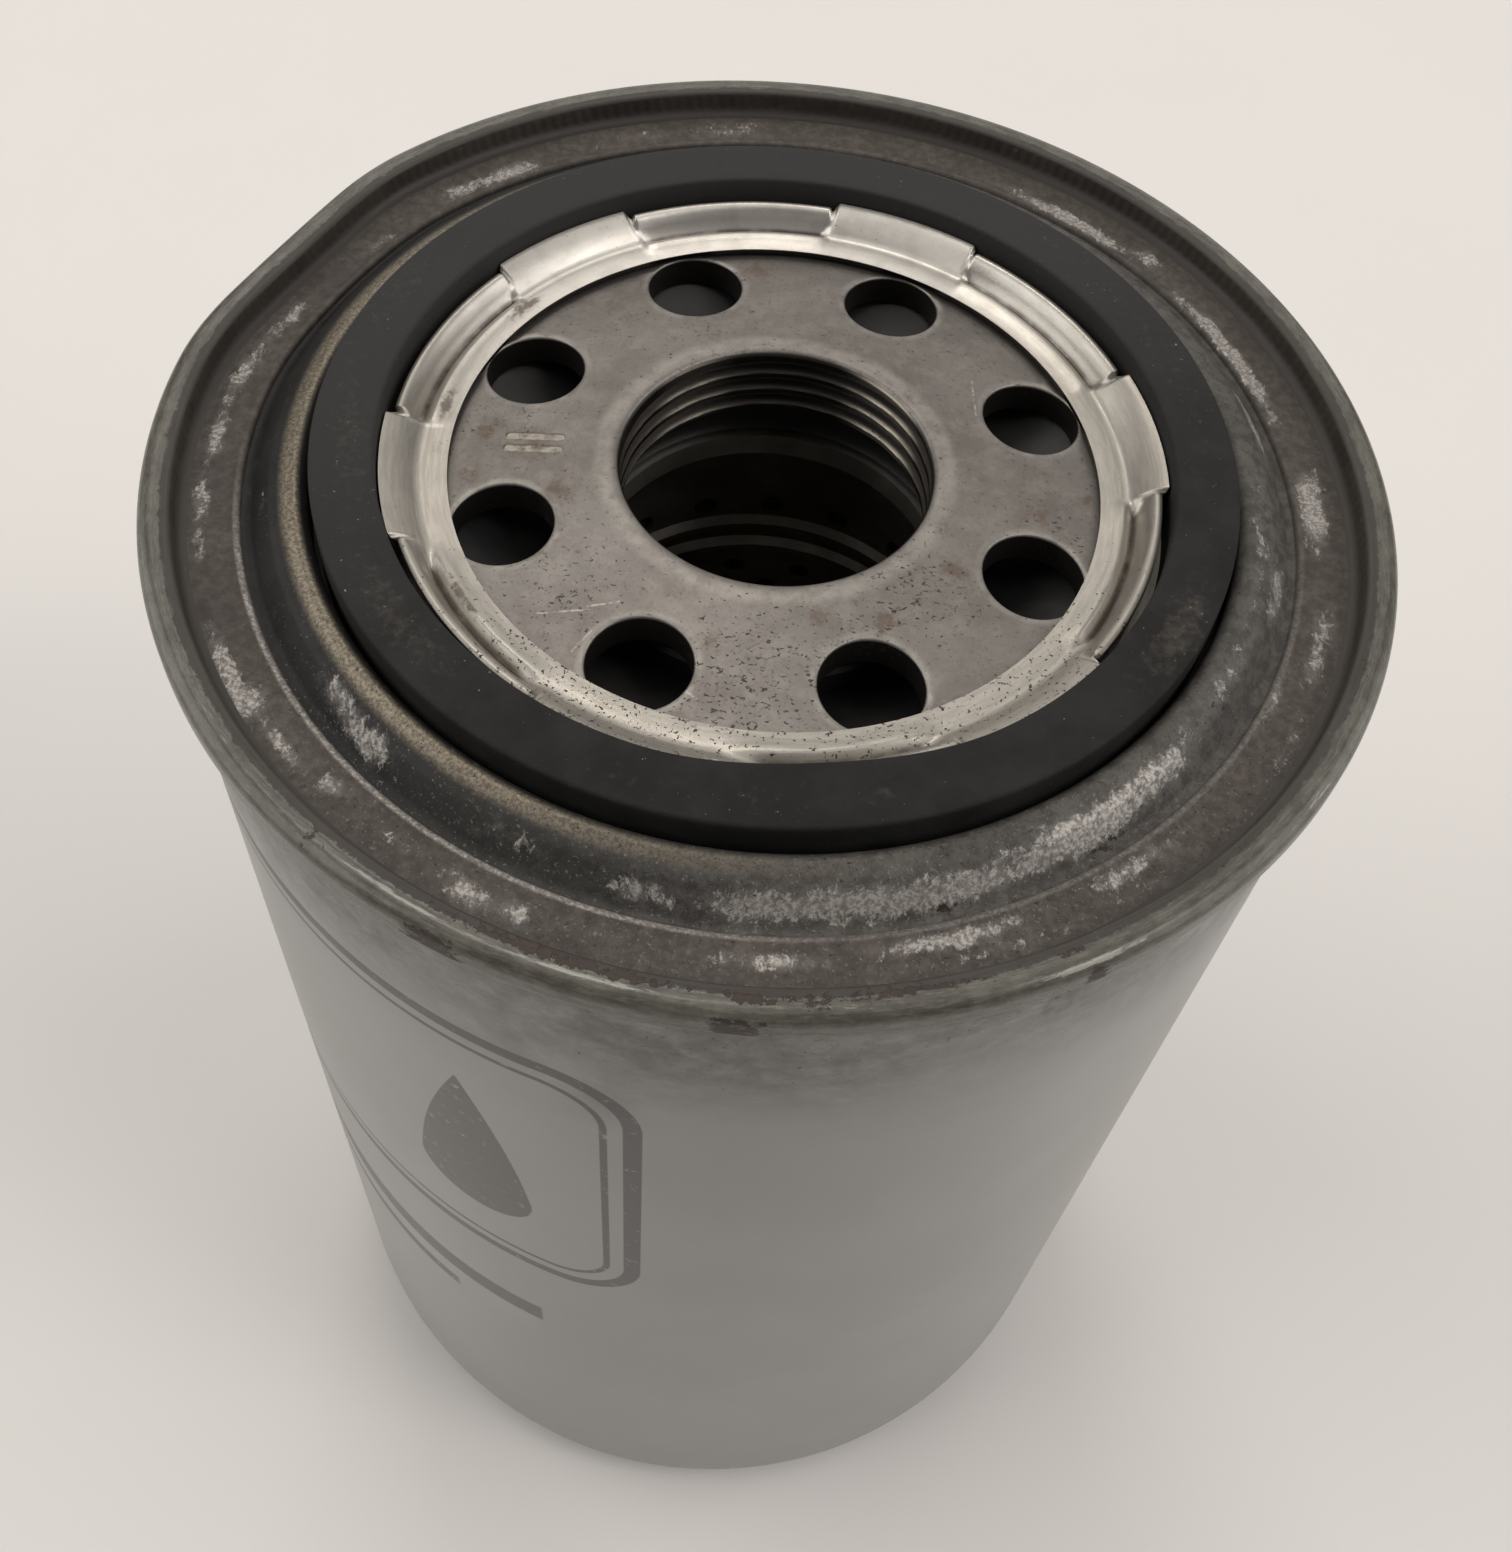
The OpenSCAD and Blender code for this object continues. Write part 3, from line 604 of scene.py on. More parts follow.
def gasket_rubber():
    """Matt black rubber with pale specks, some brown dust, and a painted sheen at the back and
    left.
    """
    p = Paint("gasket_rubber")
    broad = p.noise(6, detail=6, rough=0.6)
    base = p.mix(p.between(broad, 0.35, 0.68), (0.0125, 0.012, 0.0117), (0.022, 0.0212, 0.0205))
    # painted sheen: the rubber is lighter at the back and on the left
    base = p.coat(base, (0.034, 0.033, 0.032), p.field("chalk"))
    dust = p.marked("dust", 0.32, p.noise(0.8, detail=7, rough=0.72), 0.60, 0.95)
    base = p.coat(base, (0.10, 0.084, 0.07), dust, 0.5)
    specks = p.marked("dust", 0.05, p.noise(0.4, detail=3, rough=0.6), 0.73, 0.76)
    base = p.coat(base, (0.30, 0.275, 0.24), specks)
    p.shader.inputs["Specular IOR Level"].default_value = 0.18
    fine = p.noise(0.3, detail=4, rough=0.6)
    return p.finish(base, p.blend(broad, 0.62, 0.74), normal=p.bump(fine, 0.06))


def rubber():
    p = Paint("valve_rubber")
    fine = p.noise(0.35, detail=4)
    base = p.mix(p.spots(5, 0.35, 0.7, detail=5), (0.016, 0.016, 0.017), (0.03, 0.029, 0.028))
    return p.finish(base, p.blend(fine, 0.36, 0.55), normal=p.bump(fine, 0.02))


def sheet_steel(name, dark, light, roughness=0.36):
    """Plated sheet steel: mottled, with draw lines and a few brown marks."""
    p = Paint(name, metallic=0.9)
    broad, fine = p.noise(6, detail=6), p.noise(0.25, detail=4)
    lines = p.noise(1.2, detail=4, stretch=(6, 6, 0.25))
    base = p.mix(p.between(broad, 0.35, 0.7), dark, light)
    base = p.coat(base, tuple(c * 0.6 for c in dark), p.between(lines, 0.62, 0.78))
    marks = p.spots(1.6, 0.68, 0.76, detail=7, rough=0.7)
    base = p.coat(base, (0.10, 0.07, 0.045), marks, 0.6)
    rough = p.add_part(p.blend(broad, roughness - 0.08, roughness + 0.08), marks, 0.2)
    return p.finish(base, rough, normal=p.bump(p.plus(fine, lines), 0.02))


def filter_paper():
    """Resin-treated paper: cream to amber, with fibres, and painted shade towards its inner folds.
    """
    p = Paint("filter_paper", roughness=0.85)
    _, radius, _ = p.polar()
    fibre = p.noise(0.35, detail=5, rough=0.7, stretch=(1, 1, 3))
    base = p.mix(p.spots(12, 0.35, 0.7, detail=5), (0.52, 0.37, 0.19), (0.60, 0.45, 0.25))
    base = p.coat(base, (0.72, 0.58, 0.36), p.between(fibre, 0.5, 0.75), 0.5)
    # painted shade: the paper darkens towards the inner folds of the pleats
    base = p.coat(base, (0.022, 0.015, 0.009), p.between(radius, 23, 44, to=(0.96, 0.0)))
    return p.finish(base, normal=p.bump(fibre, 0.05))


def compound(name, dark, light, roughness, size=2.5):
    """A poured or pressed compound: smooth, uneven, with small bubbles."""
    p = Paint(name, roughness=roughness)
    cell_place = p.vector("MULTIPLY", p.place, (1 / 1.1,) * 3)
    cells = p.node("ShaderNodeTexVoronoi", {"Vector": cell_place, "Scale": 1.0})
    bubbles = p.between(cells.outputs["Distance"], 0.16, 0.10)
    base = p.mix(p.spots(size, 0.35, 0.7, detail=5), dark, light)
    base = p.coat(base, tuple(c * 0.5 for c in dark), bubbles, 0.5)
    fine = p.noise(0.4, detail=4)
    height = p.add_part(p.times(bubbles, -1), fine, 0.4)
    rough = p.blend(fine, roughness - 0.06, roughness + 0.1)
    return p.finish(base, rough, normal=p.bump(height, 0.05))


# ------------------------------------------------------------ pieces

def dent(angle):
    """How far the rim is knocked inwards, onto a straight line whose ends are softened."""
    flat = 0.0
    for shift in (-4, -2, 0, 2, 4):
        apart = radians(min(turn_apart(angle + shift, DENT_AT), DENT_HALF))
        flat += 0.2 * SEAM_R * (1 - cos(radians(DENT_HALF)) / cos(apart))
    return 0.7 * flat + 0.2 * smoothstep(18, 0, turn_apart(angle, DENT_AT))


def knock_in(piece):
    """Pushes the dent into a piece: strongest at the seam, gone at the bead and lower down."""
    for vertex in piece.data.vertices:
        angle, radius, depth = polar(vertex.co)
        push = dent(angle) * smoothstep(43, 52, radius) * smoothstep(14, 2, depth)
        vertex.co.xy *= 1 - push / radius


def placed(piece, body, slot, node, *materials):
    """Gives a piece its materials, and its place in the assembly instead of a CAD node."""
    for material in materials:
        piece.data.materials.append(material)
    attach(piece, body)
    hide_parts(node)


def can_section():
    """The can: its dished end, its wall, and the swell under the seam."""
    corner_r = 10
    dish_r, foot_r, dish = 29, 33, 2
    floor = SEAM_TOP
    corner = (CAN_R - corner_r, floor - corner_r)
    outside = [(0.02, floor - dish), (dish_r, floor - dish), (foot_r - 1.2, floor - 0.25),
               (foot_r, floor)]
    outside += arc(corner, corner_r, -90, 0, 16)
    outside += [(CAN_R, 5.2), (CAN_R + 0.15, 4.7), (CAN_R + 0.62, 4.45), (CAN_R + 0.75, 4.1),
                (CAN_R + 0.75, 3.2), (CAN_R + 0.3, 3.02)]
    inside = [(CAN_R - CAN_T, 3.02), (CAN_R - CAN_T, floor - corner_r)]
    inside += arc(corner, corner_r - CAN_T, 0, -90, 8)
    inside += [(foot_r, floor - CAN_T), (dish_r, floor - dish - CAN_T),
               (0.02, floor - dish - CAN_T)]
    return refined(outside, 6) + refined(inside, 12)


# soiling and painted shade on the can: direction, half angle, depth, half height, amount. The first
# entry, all round just under the seam, is mostly painted shade from the seam's overhang.
GRIME = [(-90, 420, 2, 26, 1.0), (-95, 20, 9, 9, 0.4), (-92, 12, 16, 8, 0.3),
         (-124, 14, 8, 7, 0.3), (-108, 7, 16, 6, 0.3), (-100, 6, 22, 5, 0.5),
         (-66, 12, 7, 5, 0.7), (-80, 9, 13, 7, 0.5), (60, 40, 9, 9, 0.8), (150, 40, 12, 12, 0.8),
         (110, 30, 90, 20, 0.4), (-60, 4, 6, 2.5, 1.2), (-20, 25, 10, 8, 0.5),
         (20, 50, 150, 8, 0.7), (-120, 60, 152, 5, 0.8)]


def make_can():
    section = can_section()
    piece = turned("can_body", lambda a: section, [k * 1.5 for k in range(240)])
    set_fields(piece, grime=lambda a, r, d: patches(a, d, GRIME))
    knock_in(piece)
    placed(piece, "housing", "can_paint", "can", can_paint())


def make_sealant():
    """The CAD's sealant, knocked in with the seam round it."""
    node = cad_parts["seam_sealant"]
    mesh = node.data.copy()
    mesh.materials.clear()
    mesh.transform(node.matrix_world)
    piece = finished("sealant_bead", mesh)
    knock_in(piece)
    placed(piece, "housing", "sealant", "seam_sealant",
           compound("sealant", (0.16, 0.19, 0.15), (0.24, 0.27, 0.22), 0.6, size=1.2))


# the lip's upper face, in a pressed stretch and in a tab
PRESSED_LIP = [(LIP_IN_R, 1.76), (29.7, 1.7), (30.4, 1.55), (30.95, 1.34), (31.35, 1.42),
               (31.75, 1.86), (32.1, 2.08), (32.45, 1.75), (32.8, 0.95), (33.15, 0.25),
               (33.5, -0.1), (33.85, -0.2), (34.15, -0.05), (34.22, 0.4)]
TAB_LIP = [(LIP_IN_R, 1.76), (29.8, 1.7), (30.5, 1.66), (31.1, 1.66), (31.5, 1.68),
           (31.8, 1.58), (32.1, 1.34), (32.55, 0.98), (33.05, 0.62), (33.6, 0.28),
           (34.1, 0.03), (34.55, -0.15), (34.8, -0.2), (34.82, 0.2)]
# the ends of the tabs: direction, and how far the pressed stretch fades out on its inner side
LIP_EDGES = [(-0.5, 2.5), (24.5, 1.8), (59.5, 1.5), (84.5, 1.6), (119.5, 1.8), (144.5, 1.8),
             (179.5, 2.2), (-155.5, 7), (-120.5, 7), (-95.5, 9), (-60.5, 5), (-35.5, 6)]


def lip_line(angle):
    """The lip: tabs bent out over the gasket, with pressed stretches between them."""
    edge, fade = min(LIP_EDGES, key=lambda e: turn_apart(angle, e[0]))
    from_tab = min(turn_apart(angle, FIRST_TAB + TAB_PITCH * k) for k in range(6))
    past = from_tab - TAB_ANGLE / 2
    line = []
    for k, ((r0, d0), (r1, d1)) in enumerate(zip(PRESSED_LIP, TAB_LIP)):
        outer = smoothstep(6, 11, k)
        tab = smoothstep(0.25 + fade * (1 - outer), -0.25, past)
        notch = smoothstep(0.8, 0.15, turn_apart(angle, edge)) * outer
        line.append((r0 + (r1 - r0) * tab - 0.2 * notch, d0 + (d1 - d0) * tab + 0.4 * notch))
    return line


def lid_outer():
    """The lid outside its lip: gasket channel, bead, step, flat ring and the rolled seam."""
    line = [(CHANNEL_IN_R, 1.3), (CHANNEL_IN_R, CHANNEL_DEPTH), (CHANNEL_OUT_R, CHANNEL_DEPTH),
            (CHANNEL_OUT_R, 1.6)]
    line += arc((BEAD_R - 0.45, 1.1), 1.08, 168, 60, 9)
    line += [(BEAD_R + 1.6, 0.72), (46.1, 2.95), (46.45, 3.06), (46.75, 2.98), (46.85, 2.72),
             (47.0, 2.54), (47.3, 2.47), (47.9, RING_DEPTH)]
    line += arc((CHUCK_R - 0.9, RING_DEPTH - 0.9), 0.9, -90, 0, 5)
    line += arc((CHUCK_R + 0.4, 0.45), 0.4, 180, 95, 5)
    line += [(CHUCK_R + 0.85, 0.14), (CHUCK_R + 1.15, 0.1)]
    line += arc((SEAM_R - 1.15, 1.15), 1.15, 97, 0, 9)
    line += [(SEAM_R, 2.4), (SEAM_R - 0.15, 2.8), (SEAM_R - 0.5, 3.0)]
    return refined(line, 0.6)


def lid_angles():
    """Directions of the lid's sections, closer together at the ends of the tabs."""
    angles = {round(k * 1.2, 3) for k in range(300)}
    for edge, _ in LIP_EDGES:
        angles |= {round((edge + k * 0.2) % 360, 3) for k in range(-6, 7)}
    return sorted(angles)


# bare patches of the lid: direction, half angle, radius, half width, amount
BARE = [(-177, 7, 49.8, 1.6, 0.9), (-168, 6, 50.2, 1.4, 1.0), (-162, 3, 50.3, 1.0, 0.7),
        (-147, 9, 50.6, 1.3, 1.3), (-142.5, 2.5, 50.0, 2.2, 1.0), (-136, 7, 49.9, 1.3, 1.0),
        (-130, 2.5, 49.0, 1.6, 0.9), (-122, 5, 49.3, 1.3, 0.5), (-113.5, 5, 49.8, 1.9, 1.0),
        (-108.5, 2.5, 49.6, 2.0, 0.9), (-98, 9, 49.5, 1.9, 0.35), (-86, 8, 49.0, 1.4, 0.9),
        (-70, 12, 48.4, 1.4, 1.0), (-65, 22, 50.3, 1.0, 0.5), (-51, 10, 48.4, 1.4, 0.9),
        (-30, 9, 50.3, 1.1, 0.5), (-25, 7, 47.5, 0.8, 0.8), (-20, 5, 49.5, 1.9, 0.7),
        (-14, 6, 49.5, 1.9, 0.7), (2, 9, 48.6, 2.0, 1.4), (26, 18, 47.9, 1.4, 1.4),
        (44, 3.5, 49.5, 1.9, 0.9), (55, 14, 48.0, 1.4, 1.4), (-12, 8, 45.0, 1.2, 1.0),
        (14, 10, 45.2, 1.0, 1.0), (100, 7, 49.0, 2.1, 0.6), (110, 6, 49.3, 1.8, 0.5),
        (128, 6, 48.4, 2.0, 1.1), (135, 5, 48.6, 1.8, 0.9), (149, 4, 48.6, 1.5, 0.7),
        (165, 8, 49.6, 1.5, 0.8), (174, 7, 49.8, 1.5, 0.9),
        (-166, 4, 44.8, 1.0, 0.4), (-137, 5, 44.3, 1.6, 0.9), (-131, 6, 44.9, 1.7, 1.0),
        (-113, 7, 44.7, 1.3, 0.45), (-99, 6, 45.1, 1.2, 0.8), (-88, 9, 44.9, 1.7, 1.0),
        (-78, 10, 44.9, 1.8, 1.1), (-67, 10, 44.9, 1.8, 1.1), (-55, 11, 44.4, 2.2, 1.2),
        (-44, 11, 44.1, 2.1, 1.1), (-28, 14, 43.4, 1.7, 0.6), (-5, 22, 43.0, 1.7, 0.45)]
# the same for rust, painted highlights along the seam's top, and stains on the lip
RUST = [(-104, 16, 52.9, 0.9, 0.9), (-80, 14, 53.1, 0.9, 0.7), (-113, 5, 55.0, 0.7, 1.2),
        (-89, 4.5, 55.0, 0.7, 1.2), (-88, 3, 53.4, 0.8, 1.1), (-60.5, 2, 55.1, 0.7, 1.4),
        (-62, 2.5, 53.2, 0.6, 0.9), (-125.5, 1.2, 53.9, 1.5, 1.3), (-83, 2, 53.8, 0.9, 0.8),
        (-100, 20, 52.9, 0.7, 0.6), (-72, 14, 52.9, 0.8, 0.6), (-20, 12, 53.0, 0.7, 0.6),
        (-169, 2, 54.1, 1.0, 0.7), (-45, 6, 52.9, 0.6, 0.7), (-145, 10, 52.9, 0.6, 0.5),
        (-32, 4, 44.0, 1.2, 0.5), (-52, 5, 45.8, 0.7, 0.6), (-70, 5, 45.9, 0.6, 0.7)]
WORN_SEAM = [(-117, 11, 53.65, 0.35, 1.5), (-101, 12, 53.75, 0.35, 1.4),
             (-61, 9, 54.45, 0.35, 1.5), (-140, 14, 53.6, 0.3, 0.8),
             (-35, 12, 54.5, 0.35, 0.8), (-80, 12, 53.9, 0.5, 0.6)]
STAINED_LIP = [(-143, 9, 31.1, 0.8, 1.2), (146, 9, 30.4, 1.4, 1.0), (174, 8, 30.3, 1.2, 1.0),
               (-176, 6, 30.2, 1.0, 0.6), (-73, 3, 30.2, 0.8, 0.9), (-60, 7, 31.4, 0.8, 0.5),
               (30, 16, 29.5, 0.7, 0.5)]


def toward(far, near, direction, amount=1.0):
    """A field that rises to the amount from far to near, in degrees from a direction."""
    return lambda a, r, d: amount * smoothstep(far, near, turn_apart(a, direction))


def both(first, second):
    return lambda *place: first(*place) + second(*place)


def make_lid():
    outer = lid_outer()
    piece = turned("lid_with_tabs", lambda a: sheet(lip_line(a) + outer, LID_T), lid_angles(),
                   sharp_angle=50)
    set_fields(
        piece,
        reach=lambda a, r, d: r,
        sink=lambda a, r, d: d,
        bare=lambda a, r, d: patches(a, r, BARE),
        rust=lambda a, r, d: patches(a, r, RUST),
        # painted highlights along the seam's rounded top
        worn=lambda a, r, d: patches(a, r, WORN_SEAM),
        stain=lambda a, r, d: patches(a, r, STAINED_LIP),
        # a painted highlight along the step's edge, strong at the front-left and fainter at the
        # front-right
        line=both(toward(50, 25, -128), toward(60, 20, -50, 0.35)),
        pitted=toward(95, 40, -85),
        # painted sheen: the lip is brighter at the back
        clean=toward(85, 20, 102),
        # wear and painted reflection: the slope outside the bead turns silvery towards the right
        silver=toward(135, 60, -5))
    for face in piece.data.polygons:
        radius = Vector(face.center[:2]).length / MM
        face.material_index = 0 if radius < LIP_OUT_R else 1 if radius < CHUCK_R - 1.0 else 2
    knock_in(piece)
    placed(piece, "housing", "lid_steel", "seaming_lid", tinned_lip(), lid_lacquer(), seam_paint())


def dome(radius):
    """Depth of the base plate's upper face."""
    return MOUTH_DEPTH + DOME_SLOPE * (radius - MOUTH_R)


def bore_radius(angle, depth):
    """The threaded bore: a helix between a plain mouth and a chamfered end."""
    start, end = MOUTH_DEPTH + 0.15, NECK_END - 0.1
    turn = (depth / THREAD_PITCH - angle / 360 + 0.1) % 1
    groove = smoothstep(0.06, 0.44, turn) * smoothstep(0.94, 0.56, turn)
    groove *= smoothstep(NECK_TOP - 0.4, NECK_TOP + 0.3, depth)
    thread = THREAD_MINOR_R + (THREAD_MAJOR_R - THREAD_MINOR_R) * groove
    mouth = 14.2 - 0.2 * smoothstep(0, 0.3, depth - start)
    runout = THREAD_MINOR_R + smoothstep(end - 0.6, end, depth)
    return max(thread, mouth, runout)


def plate_section(angle):
    """The base plate with its neck. The thread is a helix, so the bore changes with the angle."""
    top = [(14.3, 1.5), (14.55, 1.4), (15.0, 1.38), (15.8, 1.44), (17.5, dome(17.5) - 0.02)]
    top += [(r, dome(r)) for r in (20, 23, 26, 29, SHOULDER_R - 0.4)]
    rim = [(SHOULDER_R + 0.3, dome(SHOULDER_R) + 0.25), (SHOULDER_R + 1.8, RIM_DEPTH),
           (PLATE_R - 0.5, RIM_DEPTH), (PLATE_R, RIM_DEPTH + 0.5),
           (PLATE_R, RIM_DEPTH + PLATE_T - 0.5), (PLATE_R - 0.5, RIM_DEPTH + PLATE_T),
           (SHOULDER_R + 1.4, RIM_DEPTH + PLATE_T), (SHOULDER_R - 0.4, dome(SHOULDER_R) + PLATE_T),
           (24, dome(24) + PLATE_T), (NECK_R + 2.3, MOUTH_DEPTH + PLATE_T + 0.4),
           (NECK_R + 0.5, NECK_END - 2.6), (NECK_R, NECK_END - 1.8), (NECK_R, NECK_END - 0.2),
           (NECK_R - 0.2, NECK_END), (THREAD_MAJOR_R + 0.1, NECK_END)]
    steps = 76
    low = NECK_END - 0.15
    depths = [low - (low - MOUTH_DEPTH - 0.15) * k / steps for k in range(steps + 1)]
    return refined(top, 1.2) + rim + [(bore_radius(angle, d), d) for d in depths]


def inlet_cutter(angle):
    """A cutter for one inlet hole, with a rounded rim that follows the plate's dome."""
    centre = INLET_CIRCLE_R * Vector((cos(radians(angle)), sin(radians(angle))))
    rings = [(INLET_R + 0.45, -0.5), (INLET_R + 0.22, -0.02), (INLET_R + 0.1, 0.05),
             (INLET_R + 0.02, 0.16), (INLET_R, 0.35), (INLET_R, 9)]
    sides = 56
    verts = []
    for ring_r, offset in rings:
        for s in range(sides):
            a = 2 * pi * s / sides
            x, y = centre.x + ring_r * cos(a), centre.y + ring_r * sin(a)
            d = dome(hypot(x, y)) + offset
            verts.append((x * MM, y * MM, (SEAM_TOP - d) * MM))
    mesh = bpy.data.meshes.new("cutter")
    mesh.from_pydata(verts, [], tube(len(rings), sides))
    return finished("cutter", mesh)


# on the plate: x, y, reach, amount
STAINS = [(23.5, -2.6, 1.6, 1.0), (28.0, 0.2, 1.4, 0.9), (3.6, 17.8, 2.0, 0.5),
          (-18.6, -5.5, 2.6, 0.9), (-26.4, 1.4, 2.4, 1.0), (-3.8, 26.8, 3.0, 0.9),
          (14.3, -6.0, 1.4, 0.9), (10.5, -16.6, 1.9, 1.1), (16.2, -10.3, 2.2, 1.0),
          (-22, 0, 3.4, 0.9), (-15, 18, 3.0, 0.5), (12.1, 5.6, 1.2, 0.7), (-27, -4, 3.0, 0.6),
          (11.5, 9.8, 1.0, 0.7), (-3.5, -20.5, 2.4, 0.5), (-11, 14.8, 1.6, 0.5),
          (20, 17, 2.5, 0.4), (4.5, -17, 1.8, 0.5)]
PITTED = [(0, -24, 13, 1.0), (13, -13, 8, 1.0), (-17, -17, 8, 0.8), (25, -4, 6, 0.7),
          (-24, 4, 7, 0.5), (9, -20, 6, 0.7), (-9, 16, 8, 0.4)]


def spread(spots):
    """A field that is strongest at the spots' centres."""
    def value(angle, radius, depth):
        x, y = radius * cos(radians(angle)), radius * sin(radians(angle))
        return sum(amount * smoothstep(reach, 0, hypot(x - sx, y - sy))
                   for sx, sy, reach, amount in spots)
    return value


def make_plate():
    piece = turned("threaded_plate", plate_section, [k * 2.0 for k in range(180)])
    inlet_pitch = 360 / INLET_COUNT
    carve(piece, [inlet_cutter(FIRST_INLET + inlet_pitch * k) for k in range(INLET_COUNT)])
    set_fields(
        piece,
        stain=spread(STAINS),
        pitted=spread(PITTED),
        glint=both(toward(24, 4, 46), toward(20, 4, 128, 0.35)),
        below=lambda a, r, d: d - dome(max(r, MOUTH_R)))
    placed(piece, "housing", "plate_steel", "base_plate", plate_steel())


# the same for dust on the gasket
DUST = [(-28, 16, 38.5, 3.0, 1.0), (-140, 22, 37.5, 3.5, 0.7), (-74, 3, 37.8, 1.2, 0.8),
        (160, 30, 38.5, 3.5, 0.5), (-170, 22, 37, 3, 0.6), (30, 60, 38, 4, 0.35),
        (-95, 30, 38, 3, 0.3)]


def make_gasket():
    """The gasket: its inner edge is squeezed outwards at the front."""
    inner = GASKET_R - GASKET_WIDTH
    top, foot = GASKET_TOP, GASKET_FOOT
    base = arc((inner + 0.35, top + 0.35), 0.35, 180, 90, 4)
    base += arc((GASKET_R - 0.4, top + 0.4), 0.4, 90, 0, 4)
    base += [(GASKET_R, foot - 0.2), (GASKET_R - 0.2, foot), (inner + 0.2, foot),
             (inner, foot - 0.2)]
    base = refined(base + [base[0]], 0.8)[:-1]

    def section(angle):
        squeeze = 0.6 * smoothstep(24, 0, turn_apart(angle, -80))
        return [(r - squeeze * smoothstep(inner + 3, inner, r) * smoothstep(foot, top, d), d)
                for r, d in base]

    piece = turned("gasket_ring", section, [k * 1.5 for k in range(240)])
    # painted sheen at the back and on the left
    set_fields(piece, dust=lambda a, r, d: patches(a, r, DUST), chalk=toward(50, 125, -65))
    placed(piece, "housing", "gasket_rubber", "gasket", gasket_rubber())


def make_coil(name, node, turns, wire_r, material):
    """A coil spring in a CAD spring's place, with closed and ground ends."""
    low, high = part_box(node)
    foot, top = low.z / MM, high.z / MM
    coil_r = high.x / MM - wire_r
    steps, sides = 40, 12
    closed = 2.04 * wire_r              # rise of an end turn
    ground = 0.4 * wire_r               # the wire's centre over the foot, at its end
    pitch = (top - foot - 2 * ground - 2 * closed) / turns
    rings = (turns + 2) * steps + 1
    verts = []
    for k in range(rings):
        u = k / steps
        a = 2 * pi * u
        height = (foot + ground + closed * (min(u, 1) + max(u - turns - 1, 0))
                  + pitch * min(max(u - 1, 0), turns))
        for s in range(sides):
            b = 2 * pi * s / sides
            r, z = coil_r + wire_r * cos(b), height + wire_r * sin(b)
            z = min(max(z, foot), top)
            verts.append((r * MM * cos(a), r * MM * sin(a), z * MM))
    mesh = bpy.data.meshes.new(name)
    mesh.from_pydata(verts, [], tube(rings, sides))
    piece = finished(name, mesh)
    piece.data.materials.append(material)
    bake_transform(piece)
    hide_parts(node)


def dress_inner_nodes():
    """Materials of the CAD nodes that stay as they are."""
    tinned = sheet_steel("tinned_steel", (0.42, 0.40, 0.36), (0.58, 0.56, 0.52))
    zinc = sheet_steel("zinc_steel", (0.20, 0.185, 0.16), (0.31, 0.285, 0.25), roughness=0.5)
    potting = compound("potting", (0.36, 0.33, 0.27), (0.50, 0.46, 0.38), 0.55)
    fibre = compound("fibre", (0.10, 0.13, 0.12), (0.17, 0.20, 0.18), 0.8, size=0.9)
    black_rubber = rubber()
    looks = {
        "anti_drainback_valve": black_rubber, "upper_end_cap": tinned, "upper_potting": potting,
        "pleated_media": filter_paper(), "pleat_seam_clip": tinned, "centre_tube": zinc,
        "lower_potting": potting, "lower_end_cap": tinned, "bypass_gasket": fibre,
        "bypass_seat": zinc, "bypass_cage": tinned, "bypass_poppet": zinc,
        "bypass_seal": black_rubber, "spring_seat": tinned,
    }
    for name, material in looks.items():
        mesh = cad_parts[name].data
        mesh.materials.clear()
        mesh.materials.append(material)


make_can()
make_sealant()
make_lid()
make_plate()
make_gasket()
dress_inner_nodes()
spring = sheet_steel("spring_steel", (0.20, 0.195, 0.19), (0.34, 0.33, 0.32), roughness=0.3)
make_coil("bypass_coil", "bypass_spring", 6, 0.5, spring)
make_coil("support_coil", "support_spring", 4, 0.92, spring)


# ------------------------------------------- camera, stage and light

def look_from(elevation, distance, target, turn, pitch, roll):
    """A camera's place and rotation: aimed at the target, then turned about its own axes."""
    e = radians(elevation)
    place = Vector(target) + distance * Vector((0, -cos(e), sin(e)))
    axes = Matrix(((1, 0, 0), (0, sin(e), -cos(e)), (0, cos(e), sin(e))))
    own = (Matrix.Rotation(radians(turn), 3, "Y")
           @ Matrix.Rotation(radians(-pitch), 3, "X")
           @ Matrix.Rotation(radians(roll), 3, "Z"))
    return Matrix.Translation(place) @ (axes @ own).to_4x4()


def make_camera():
    data = bpy.data.cameras.new("camera")
    data.sensor_width = 36
    data.lens = 40.33
    data.shift_y = -0.0522
    data.clip_start = 0.01
    camera = bpy.data.objects.new("camera", data)
    bpy.context.scene.collection.objects.link(camera)
    camera.matrix_world = look_from(elevation=45.91, distance=0.15543, target=(0, 0, SEAM_TOP * MM),
                                    turn=-0.08, pitch=8.03, roll=5.68)
    bpy.context.scene.camera = camera


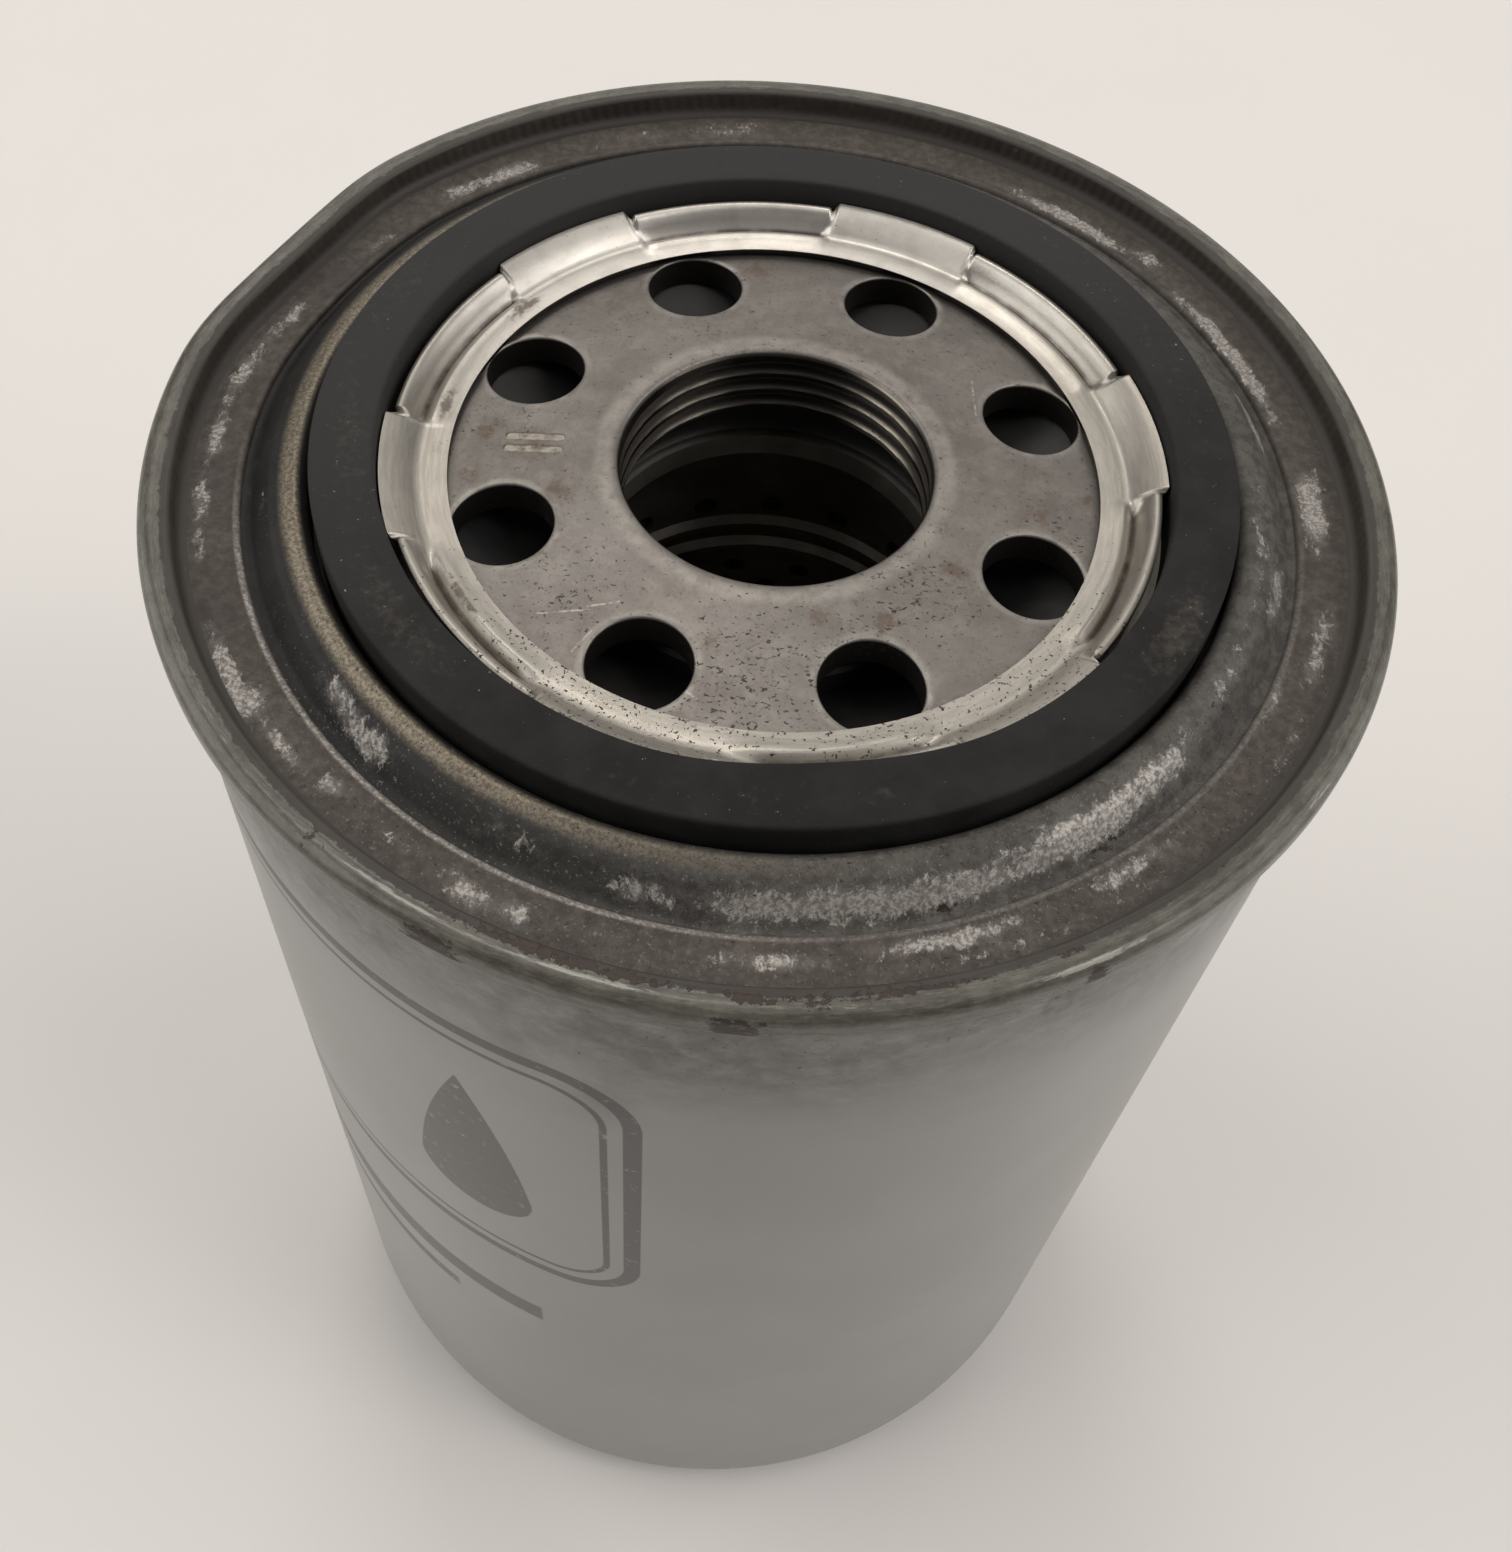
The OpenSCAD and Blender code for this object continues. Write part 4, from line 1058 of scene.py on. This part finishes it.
def soft_light(name, azimuth, elevation, distance, size, power, colour):
    """A square lamp aimed at the seam. Azimuth 0 is behind the filter and 90 is on its right."""
    a, e = radians(azimuth), radians(elevation)
    way = Vector((sin(a) * cos(e), cos(a) * cos(e), sin(e))) * distance
    data = bpy.data.lights.new(name, "AREA")
    data.size = size
    data.energy = power
    data.color = colour
    lamp = bpy.data.objects.new(name, data)
    bpy.context.scene.collection.objects.link(lamp)
    lamp.location = way + Vector((0, 0, 0.12))
    lamp.rotation_euler = way.to_track_quat("Z", "Y").to_euler()


# name, azimuth, elevation, distance, size, power, colour
LAMPS = [("left", -92, 30, 1.4, 1.5, 14, (1, 0.98, 0.95)),
         ("right", 94, 28, 1.4, 1.5, 12.5, (1, 0.98, 0.96)),
         ("back", 0, 30, 1.4, 1.6, 6.5, (1, 0.97, 0.93)),
         ("front", 180, 24, 1.5, 1.0, 0.5, (1, 0.98, 0.96)),
         ("ceiling", -15, 62, 1.5, 0.35, 2.6, (1, 0.95, 0.88)),
         ("ceiling_right", 108, 53, 1.5, 0.3, 2.0, (1, 0.95, 0.88)),
         ("top", 0, 88, 1.4, 1.2, 4.0, (1, 0.97, 0.92))]
FLOOR_HALF = 3                          # metres
FLOOR_DROP = 0.05 * MM                  # keeps the can's foot clear of it


def make_stage():
    corners = [(x * FLOOR_HALF, y * FLOOR_HALF, -FLOOR_DROP)
               for x, y in ((-1, -1), (1, -1), (1, 1), (-1, 1))]
    mesh = bpy.data.meshes.new("floor")
    mesh.from_pydata(corners, [], [(0, 1, 2, 3)])
    floor = bpy.data.objects.new("floor", mesh)
    bpy.context.scene.collection.objects.link(floor)
    p = Paint("paper_floor", roughness=0.8)
    mottle = p.noise(60, detail=3)
    mesh.materials.append(p.finish(p.mix(mottle, (0.76, 0.735, 0.715), (0.79, 0.765, 0.74))))
    world = bpy.data.worlds.new("world")
    world.use_nodes = True
    background = world.node_tree.nodes["Background"]
    background.inputs["Color"].default_value = (1, 0.97, 0.94, 1)
    background.inputs["Strength"].default_value = 0.08
    bpy.context.scene.world = world
    for lamp in LAMPS:
        soft_light(*lamp)
    bpy.context.scene.view_settings.view_transform = "Standard"


make_camera()
make_stage()
